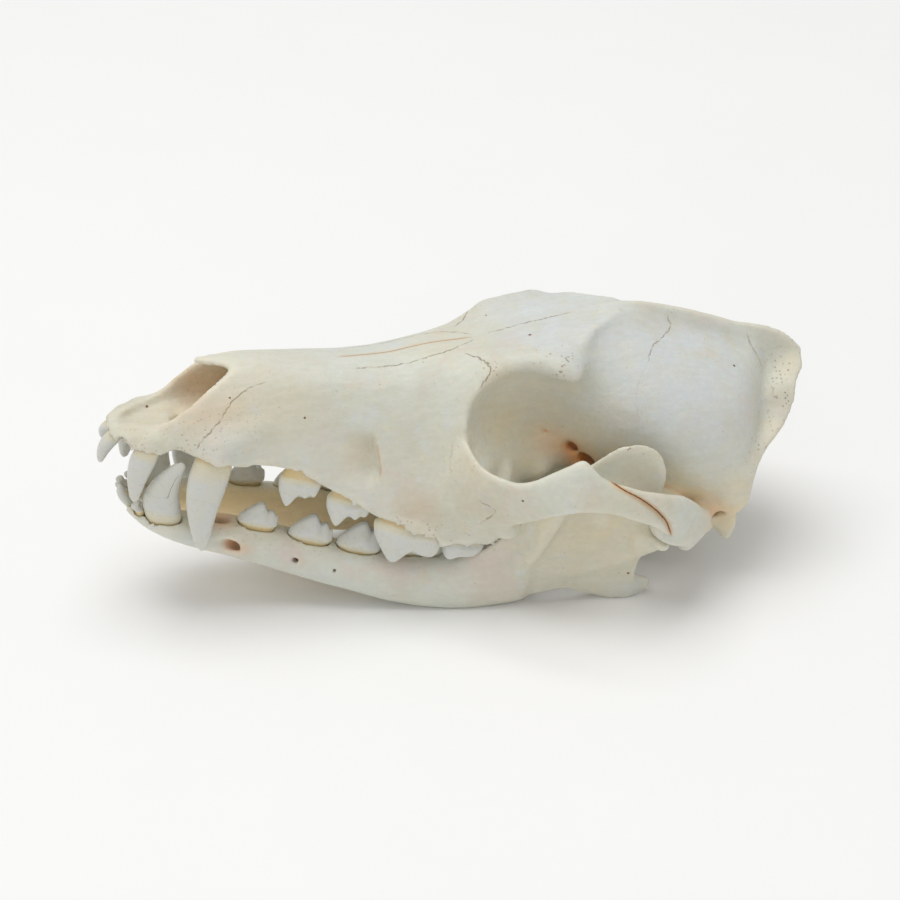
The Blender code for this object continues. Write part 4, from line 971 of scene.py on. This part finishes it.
jawPaint = {
    "cool": [
        ((20, 12, -22), (14, 8, 5), 0.5), ((150, 29, -16), (8, 6, 6), 0.8),
        ((60, 18, -28), (40, 6, 5), 0.35),
    ],
    "warm": [
        ((132, 33, 6), (20, 8, 20), 0.7), ((144, 30, -12), (12, 8, 8), 0.1),
        ((40, 12, -17), (40, 6, 3), 0.35),
    ],
    "pink": [((62, 18, -22), (34, 8, 7), 0.8), ((104, 27, -14), (16, 8, 12), 0.7)],
    # painted shade: a darker patch on the upright plate
    "dusk": [((122, 30, 2), (8, 6, 10), 0.2)],
    # orange: painted glow in the jaw's openings and the lost tooth's socket
    "orange": [
        ((39, 12, -23), (4, 3, 2), 0.9), ((57, 14, -24), (1.6, 3, 1.2), 0.9),
        ((33, 10, -16), (4, 3, 3), 0.9),
    ],
    "pores": [((132, 35, 34), (10, 5, 4), 1), ((60, 14, -18), (46, 8, 3), 0.5)],
}
# seams between bones, and one line of painted shade: points (s, |y|, h) and strength; the slit is drawn
# straight, the others zigzag
seams = {
    "seamA": [
        ([(97.5, 0, 44), (105.2, 0, 47.6), (113.1, 0, 50.7), (121, 0, 53.5)], 0.6),
        ([(147, 0.6, 58.2), (147.3, 2.5, 56.3), (148.2, 3.9, 54.6), (144.8, 8.4, 53), (141, 12.5, 51.7),
         (139.4, 16.9, 49)], 0.5),
        ([(20.8, 14.7, 6.2), (22.1, 14.2, 10.1), (24.3, 13.7, 13.3), (26.1, 12.9, 15.8), (27.4, 11.7, 18.4),
         (29.3, 10.4, 21.3), (32.7, 9.2, 24.4), (38, 8.3, 26.9)], 0.55),
        ([(90, 7, 41.2), (93.7, 10.7, 42.2), (96, 15.7, 42), (94.8, 17.8, 39.3), (92.8, 20.4, 38),
         (91.2, 22.1, 34.9)], 0.6),
        ([(102.8, 29.8, -6.3), (104.6, 30, -4.9), (106.4, 31, -2.6), (108, 32, 0)], 0.7),
        ([(88.6, 22.1, 23.5), (88.5, 24, 18.5), (89.1, 26.4, 14), (91.4, 29.6, 12)], 0.16),
        ([(96.2, 33, 10.5), (100.8, 35.8, 9.2), (100, 33.7, 5.1), (98.6, 31, 1)], 0.5),
        ([(171.4, 1.2, 55.1), (173.5, 3.9, 51.4), (177.7, 6.2, 48), (180.6, 10.6, 43.6), (182, 15.8, 38.6)],
         0.4),
        ([(139.4, 16.9, 49), (137.2, 19.9, 45.4), (136.6, 22.7, 40.6), (138.8, 25.4, 34.4)], 0.12),
    ],
    "seamB": [
        ([(60, 5.4, 31.4), (71.1, 6.1, 34.2), (77.6, 6.4, 36.7), (84.4, 5.8, 39.7), (89.9, 3.9, 41.6),
         (94.6, 1, 42.9)], 0.5),
    ],
    "slit": [
        # painted shade: a dark line along the crease below the eye, not a seam
        ([(69, 17.8, 17), (70.9, 19.8, 11.2), (71.5, 20.4, 8.4), (70.6, 20.8, 6.4)], 0.18),
        (cranium["gapLine"], 1),
        ([(57.4, 0, 32.1), (64, 0, 33.4), (70.7, 0, 35), (77.3, 0, 37.4), (87.9, 0, 40.9), (94.3, 0, 42.6)],
         0.5),
    ],
}


# where a seam fades: length at its ends, reach to its sides, height of the line that its sides turn round
seamFade = {"ends": 2.5, "wide": 2.4, "middleH": 14}
# warm tone and painted glow of light through the thin bone inside the nose: centre, radii, strength
noseInside = [((30, 0, 15), (16, 8.6, 9), 1), ((46, 0, 16), (18, 9, 9), 1)]


def patches(points, table):
    # sum of soft ellipsoidal spots, exp(-r^2), kept below one
    total = np.zeros(len(points))
    there = foldSides(points)
    for centre, radii, strength in table:
        total += strength * np.exp(-(((there - centre) / radii) ** 2).sum(1))
    return np.clip(total, 0, 1)


def seamValues(points, lines):
    # signed distance across the nearest seam, and its strength, which fades at the ends and away from it;
    # a seam on the middle line isn't folded to one side
    nearest = np.full(len(points), 1e9)
    across = np.full(len(points), farOff)
    strength = np.zeros(len(points))
    for line, power in lines:
        line = smoothRows(line, 6)
        there = points if line[:, 1].max() < 0.1 else foldSides(points)
        for start, span, gap, away, along, whole in lineSpans(there, line):
            sideways = np.cross(span, (0, start[1], start[2] - seamFade["middleH"]))
            sideways /= np.linalg.norm(sideways)
            closer = away < nearest
            nearest[closer] = away[closer]
            across[closer] = (gap @ sideways)[closer]
            fade = np.clip(np.minimum(along, whole - along) / seamFade["ends"], 0, 1)
            strength[closer] = (power * fade * np.exp(-(away / seamFade["wide"]) ** 4))[closer]
    return across, strength


def paintBone(piece, points, space, field, paint, lines, inner):
    # attributes that the bone material reads: patches, seams, and how hollow each place is, from the share of
    # bone in a small and in a wide ball round it; the hollow values place the painted light and shade of
    # hollows and edges, and inner is the share of warm tone with painted glow
    for name, table in paint.items():
        setAttribute(piece, name, patches(points, table))
    for name, table in lines.items():
        across, strength = seamValues(points, table)
        setAttribute(piece, name, across)
        setAttribute(piece, name + "Power", strength)
    solid = np.clip(0.5 - field / space["voxel"], 0, 1)
    for name, ball in (("fineHollow", 1.0), ("wideHollow", 4.5)):
        setAttribute(piece, name, sampleAt(space, blurField(solid, ball / space["voxel"]), points))
    setAttribute(piece, "inner", inner)


def fromScreen(r, g, b):
    # screen colour 0 to 255 as a linear colour
    c = np.array([r, g, b]) / 255
    return (*np.where(c < 0.04045, c / 12.92, ((c + 0.055) / 1.055) ** 2.4).tolist(), 1)


class Shade:
    # short ways to add and join the nodes of one material
    def __init__(self, name):
        self.material = bpy.data.materials.new(name)
        self.material.use_nodes = True
        self.nodes = self.material.node_tree.nodes
        self.links = self.material.node_tree.links
        self.shader = self.nodes["Principled BSDF"]
        self.place = self.add("TexCoord").outputs["Object"]

    def add(self, kind, **settings):
        # one node of a kind, with its settings
        node = self.nodes.new("ShaderNode" + kind)
        for name, value in settings.items():
            setattr(node, name, value)
        return node

    def put(self, node, values):
        # a socket gets a link or a number, by its name or number
        for key, value in values.items():
            if isinstance(value, bpy.types.NodeSocket):
                self.links.new(value, node.inputs[key])
            elif value is not None:
                node.inputs[key].default_value = value

    def attribute(self, name):
        # a value painted on the mesh
        return self.add("Attribute", attribute_name=name).outputs["Fac"]

    def noise(self, size, detail=3.0, rough=0.5, warp=0.0, stretch=None):
        # size of the features in millimetres; a stretch below one draws them out along that axis
        place = self.place
        if stretch:
            scaled = self.add("VectorMath", operation="MULTIPLY")
            self.put(scaled, {0: place, 1: stretch})
            place = scaled.outputs["Vector"]
        node = self.add("TexNoise")
        self.put(node, {"Vector": place, "Scale": 1000.0 / size, "Detail": detail, "Roughness": rough,
                        "Distortion": warp})
        return node.outputs["Fac"]

    def cells(self, size):
        # distance to the nearest of many scattered points, a size in millimetres apart
        node = self.add("TexVoronoi")
        self.put(node, {"Vector": self.place, "Scale": 1000.0 / size})
        return node.outputs["Distance"]

    def math(self, kind, a, b=None, c=None):
        # one sum of up to three values
        node = self.add("Math", operation=kind)
        self.put(node, {0: a, 1: b, 2: c})
        return node.outputs[0]

    def times(self, a, b):
        # a times b
        return self.math("MULTIPLY", a, b)

    def most(self, *values):
        # the greatest of some values
        best = values[0]
        for value in values[1:]:
            best = self.math("MAXIMUM", best, value)
        return best

    def span(self, value, low, high, start=0.0, end=1.0):
        # map low..high to start..end, smooth and clamped
        node = self.add("MapRange", interpolation_type="SMOOTHSTEP")
        self.put(node, {0: value, 1: low, 2: high, 3: start, 4: end})
        return node.outputs[0]

    def mix(self, share, a, b, kind="MIX"):
        # colour a where the share is 0, colour b where it is 1
        node = self.add("Mix", data_type="RGBA", blend_type=kind)
        self.put(node, {"Factor": share, 6: a, 7: b})
        return node.outputs[2]

    def dot(self, skullPlace, radius):
        # one at a point of the surface, falling to nothing at the radius in millimetres
        node = self.add("VectorMath", operation="DISTANCE")
        self.put(node, {0: self.place, 1: toWorld(skullPlace).tolist()})
        return self.span(node.outputs["Value"], radius * 0.001, radius * 0.0004)

    def surface(self, look, skin, rough, height, distance):
        # colour, roughness, soft light below the skin, and bump with its height in millimetres
        node = self.add("Bump")
        self.put(node, {"Height": height, "Distance": distance * 0.001, "Strength": 1.0})
        self.put(self.shader, {"Base Color": skin, "Roughness": rough, "Subsurface Weight": look["soft"],
                               "Subsurface Radius": look["softReach"], "Subsurface Scale": look["softDeep"],
                               "Normal": node.outputs["Normal"]})
        return self.material


def linear(look):
    # the colours of a table, 0 to 255 on screen, as linear colours
    return {key: fromScreen(*value) for key, value in look.items() if isinstance(value, tuple)}


boneLook = {
    # tan, deep and edge are painted light, glow and shade of hollows and edges; halo is a painted glow beside
    # the slit; the colour after edge is painted shade, and the one after it the inner warm tone with painted
    # glow
    "cream": (216, 218, 206), "ivory": (213, 212, 196), "cool": (213, 217, 218), "warm": (226, 211, 178),
    "pink": (217, 203, 193), "tan": (255, 236, 202), "deep": (232, 158, 86), "seam": (134, 94, 60),
    "edge": (228, 224, 208), "dusk": (202, 187, 158), "mouth": (255, 233, 190), "slit": (142, 88, 34),
    "halo": (226, 178, 118),
    "roughness": [0.45, 0.6], "soft": 0.22, "softReach": [1.0, 0.62, 0.4], "softDeep": 0.0025,
    "seamWidth": 0.15, "wiggle": 1.5, "slitWidth": 0.2, "bump": 0.3,
    # noises: size in millimetres, detail, roughness, warp, stretch
    "noises": {"broad": (26, 2), "medium": (7, 3, 0.55), "loose": (11, 3), "fine": (1.6, 4, 0.6),
               "grain": (1.3, 4, 0.6, 0.2, (0.22, 1.0, 0.8)), "lumps": (4.0, 3, 0.5), "dust": (0.5, 2, 0.5)},
    # tints all over: colour, its noise, where the noise starts to show it, where it is full, its share there
    "mottle": [("pink", (13, 4, 0.6, 0.6), 0.54, 0.70, 0.5), ("cool", (9, 4, 0.6, 0.4), 0.44, 0.30, 0.6),
               ("warm", (4.5, 3, 0.6, 0.8), 0.56, 0.74, 0.3)],
    # tints of painted patches: attribute, colour, noise, its low and high value, least share
    "painted": [("cool", "cool", "medium", 0.3, 0.62, 0.35), ("warm", "warm", "medium", 0.68, 0.34, 0.45),
                ("pink", "pink", "loose", 0.4, 0.6, 0.0), ("dusk", "dusk", "medium", 0.3, 0.6, 0.6)],
    # painted glow: the orange patches take the deep orange of light scattered in holes
    "stain": ["orange", "deep", "medium", 0.3, 0.6, 0.6],
    # share of each noise in the bump
    "relief": [("lumps", 0.9), ("grain", 0.3), ("dust", 0.06)],
}


def seamLines(s):
    # the distance to a seam is shifted by noise so that it zigzags, and it is broken up along its length
    width = boneLook["seamWidth"]
    drift = s.math("SUBTRACT", s.noise(1.5, 3, 0.6), 0.5)
    lines = []
    for seam in ("seamA", "seamB"):
        off = s.math("ABSOLUTE", s.math("MULTIPLY_ADD", drift, boneLook["wiggle"], s.attribute(seam)))
        lines.append(s.times(s.span(off, width * 1.6, width * 0.4), s.attribute(seam + "Power")))
    return s.times(s.most(*lines), s.span(s.noise(2.2, 2), 0.36, 0.56, 0.25, 1.0))


def slitLines(s, skin, colour):
    # a straight dark line with a painted warm glow on both sides; along the crease below the eye the dark
    # line is painted shade
    width, power = boneLook["slitWidth"], s.attribute("slitPower")
    off = s.math("ABSOLUTE", s.attribute("slit"))
    skin = s.mix(s.times(s.span(off, width * 6, width, 0.0, 0.55), power), skin, colour["halo"])
    return s.mix(s.times(s.span(off, width * 1.5, width * 0.5), power), skin, colour["slit"])


def pores(s):
    # small round specks where the bone is porous, and a few anywhere
    pits = s.times(s.span(s.cells(1.1), 0.30, 0.15), s.span(s.noise(2.4, 2), 0.44, 0.54))
    specks = s.times(s.span(s.cells(2.2), 0.11, 0.05), s.span(s.noise(6.0, 2), 0.52, 0.6, 0.0, 0.5))
    return s.most(s.times(pits, s.attribute("pores")), specks)


def boneMaterial(name, spots):
    # cream and ivory, mottled, tinted where patches are painted, with painted light, glow and shade in the
    # hollows and painted light on sharp edges
    s = Shade(name)
    colour = linear(boneLook)
    noises = {key: s.noise(*value) for key, value in boneLook["noises"].items()}

    def tinted(skin, patch, tint, pattern, low, high, least):
        # share of the tint = painted patch times a cloud that keeps a least share
        cloud = s.span(noises[pattern], low, high, least, 1.0)
        return s.mix(s.times(s.attribute(patch), cloud), skin, colour[tint])

    skin = s.mix(s.span(noises["broad"], 0.38, 0.62), colour["cream"], colour["ivory"])
    for tint, pattern, low, high, share in boneLook["mottle"]:
        skin = s.mix(s.span(s.noise(*pattern), low, high, 0.0, share), skin, colour[tint])
    for row in boneLook["painted"]:
        skin = tinted(skin, *row)
    wide, small = s.attribute("wideHollow"), s.attribute("fineHollow")
    # painted light: wide hollows made lighter and warmer, for the light that bounces into them
    skin = s.mix(s.span(wide, 0.53, 0.78, 0.0, 0.95), skin, colour["tan"])
    # painted shade and glow: small hollows turn a darker deep orange, for light scattered through thin bone
    skin = s.mix(s.times(s.span(small, 0.58, 0.78), s.span(wide, 0.5, 0.72, 0.25, 1.0)), skin, colour["deep"])
    # painted light: sharp ridges and edges made lighter
    skin = s.mix(s.span(small, 0.46, 0.36, 0.0, 0.5), skin, colour["edge"])
    # the inner sides' warm tone, lightened as painted glow and bounce light
    skin = s.mix(s.attribute("inner"), skin, colour["mouth"])
    # painted glow in the holes, then the slit with its painted glow
    skin = slitLines(s, tinted(skin, *boneLook["stain"]), colour)
    # painted shade: dark dots inside the tiny openings
    holeShade = s.most(*(s.dot(place, radius) for place, radius in spots))
    dark = s.most(s.times(pores(s), 0.6), seamLines(s), holeShade)
    skin = s.mix(dark, skin, colour["seam"])
    skin = s.mix(s.span(noises["fine"], 0.35, 0.7, 0.10, 0.0), skin, colour["ivory"], "MULTIPLY")
    skin = s.mix(s.span(noises["grain"], 0.36, 0.66, 0.12, 0.0), skin, colour["ivory"], "MULTIPLY")
    height = s.math("MULTIPLY_ADD", dark, -1.0, s.times(noises["fine"], 0.35))
    for key, share in boneLook["relief"]:
        height = s.math("MULTIPLY_ADD", noises[key], share, height)
    return s.surface(boneLook, skin, s.span(noises["medium"], 0.3, 0.7, *boneLook["roughness"]), height,
                     boneLook["bump"])


enamelLook = {
    "white": (209, 210, 204), "cream": (216, 209, 184), "root": (214, 192, 142), "crack": (120, 90, 62),
    "roughness": [0.24, 0.38], "soft": 0.3, "softReach": [1.0, 0.75, 0.55], "softDeep": 0.0015, "bump": 0.04,
}


def enamelMaterial():
    # bluish white, creamy towards the neck, yellow-brown at the root, in soft clouds, with one crack
    s = Shade("enamel")
    colour = linear(enamelLook)
    wander = s.math("MULTIPLY_ADD", s.math("SUBTRACT", s.noise(3.0, 3), 0.5), 0.12, s.attribute("crown"))
    skin = s.mix(s.span(wander, 0.02, 0.22), colour["cream"], colour["white"])
    skin = s.mix(s.span(wander, 0.02, -0.06), skin, colour["root"])
    skin = s.mix(s.span(s.noise(5.0, 2), 0.4, 0.66, 0.0, 0.22), skin, colour["cream"])
    crack = s.math("MULTIPLY_ADD", s.math("SUBTRACT", s.noise(1.6, 2), 0.5), 0.5, s.attribute("crack"))
    crack = s.span(s.math("ABSOLUTE", crack), 0.16, 0.05)
    skin = s.mix(s.times(crack, 0.8), skin, colour["crack"])
    rough = s.span(s.noise(2.0, 3), 0.3, 0.7, *enamelLook["roughness"])
    height = s.math("MULTIPLY_ADD", s.noise(0.8, 2), 0.3, s.times(crack, -1.0))
    return s.surface(enamelLook, skin, rough, height, enamelLook["bump"])


# tiny openings of skull and jaw, drawn as dark dots of painted shade, as (place on the left or right side,
# radius in millimetres)
skullSpots = [((107.6, -7.0, 48.8), 0.55), ((166.4, -12.2, 48.7), 0.5), ((105.7, -41.1, 16.4), 0.45),
              ((9.9, 5.2, 7.6), 0.5), ((4.4, -1.5, 5.5), 0.45), ((28.1, -10.0, 21.6), 0.35),
              ((48.9, -13.4, 19.6), 0.4), ((99.0, 8.0, 45.6), 0.4), ((128.0, 15.0, 50.0), 0.4)]
jawSpots = [((145.9, -31.1, -10.1), 0.5), ((70.0, 17.5, -27.0), 0.45)]
bone = boneMaterial("skull bone", skullSpots)
jawBone = boneMaterial("jaw bone", jawSpots)
enamel = enamelMaterial()
sockets = makeTeeth(enamel)
print("teeth done")
craniumPiece, craniumPoints, craniumSpace, craniumField = makeCranium(sockets["upper"])
inNose = patches(craniumPoints, noseInside) * 0.9
paintBone(craniumPiece, craniumPoints, craniumSpace, craniumField, bonePaint, seams, inNose)
noSeams = {name: [] for name in seams}
jawPieces = {}
for sideName, side in (("left", -1), ("right", 1)):
    jawPieces[sideName] = makeJaw(sideName, side, sockets[sideName])
    piece, points, space, field = jawPieces[sideName]
    paintBone(piece, points, space, field, jawPaint, noSeams, insideShare(points))
for piece, node in ((craniumPiece, "cranium"), (jawPieces["left"][0], "mandible_left"),
                    (jawPieces["right"][0], "mandible_right")):
    piece.data.materials.append(bone if node == "cranium" else jawBone)
    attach(piece, "root")
    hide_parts(node)
print("bones done")

# focal length and centre in pixels of a picture 900 wide
shot = {"azimuth": -11.9, "elevation": 31.7, "distance": 0.9, "focalPixels": 3239.0, "centre": (461.0, 391.6),
        "picture": 900, "sensor": 36}
# light: name, place, size, power
studio = {
    "world": 0.53, "aim": (0, 0, 0.04),
    "lights": [("key", (-0.2, 0.1, 1.5), 1.1, 12.2), ("fill", (-0.7, -1.1, 0.6), 1.0, 1.6)],
    "floorReach": 3, "floorTones": ((0.93, 0.93, 0.92, 1), (0.95, 0.95, 0.94, 1)), "floorRough": 0.9,
}


def makeCamera():
    # the camera looks at the pivot of the skull; the shift moves it to the photo's framing
    camera = bpy.data.cameras.new("camera")
    size = shot["picture"]
    camera.sensor_width = shot["sensor"]
    camera.lens = shot["focalPixels"] / size * shot["sensor"]
    camera.shift_x = -(shot["centre"][0] - size / 2) / size
    camera.shift_y = -(size / 2 - shot["centre"][1]) / size
    camera.clip_start = 0.05
    holder = addObject("camera", camera)
    a, e = math.radians(shot["azimuth"]), math.radians(shot["elevation"])
    target = np.array([restPose["shiftX"] * 0.001, 0, restPose["lift"] * 0.001])
    away = np.array([math.sin(a) * math.cos(e), -math.cos(a) * math.cos(e), math.sin(e)])
    holder.location = target + away * shot["distance"]
    holder.rotation_euler = (math.pi / 2 - e, 0, a)
    bpy.context.scene.camera = holder


def makeStudio():
    # a pale floor, an even white world, and area lights turned to the middle of the skull
    r = studio["floorReach"]
    floor = bpy.data.meshes.new("floor")
    floor.from_pydata([(-r, -r, 0), (r, -r, 0), (r, r, 0), (-r, r, 0)], [], [(0, 1, 2, 3)])
    ground = addObject("floor", floor)
    s = Shade("floor")
    tone = s.mix(s.noise(60, 2), *studio["floorTones"])
    s.put(s.shader, {"Base Color": tone, "Roughness": studio["floorRough"]})
    floor.materials.append(s.material)
    world = bpy.context.scene.world or bpy.data.worlds.new("studio")
    bpy.context.scene.world = world
    world.use_nodes = True
    world.node_tree.nodes["Background"].inputs["Color"].default_value = (1, 1, 1, 1)
    world.node_tree.nodes["Background"].inputs["Strength"].default_value = studio["world"]
    for name, place, size, power in studio["lights"]:
        light = bpy.data.lights.new(name, 'AREA')
        light.size = size
        light.energy = power
        lamp = addObject(name, light)
        lamp.location = place
        lamp.rotation_euler = (Vector(studio["aim"]) - Vector(place)).to_track_quat('-Z', 'Y').to_euler()
    bpy.context.scene.view_settings.view_transform = 'Standard'


makeCamera()
makeStudio()
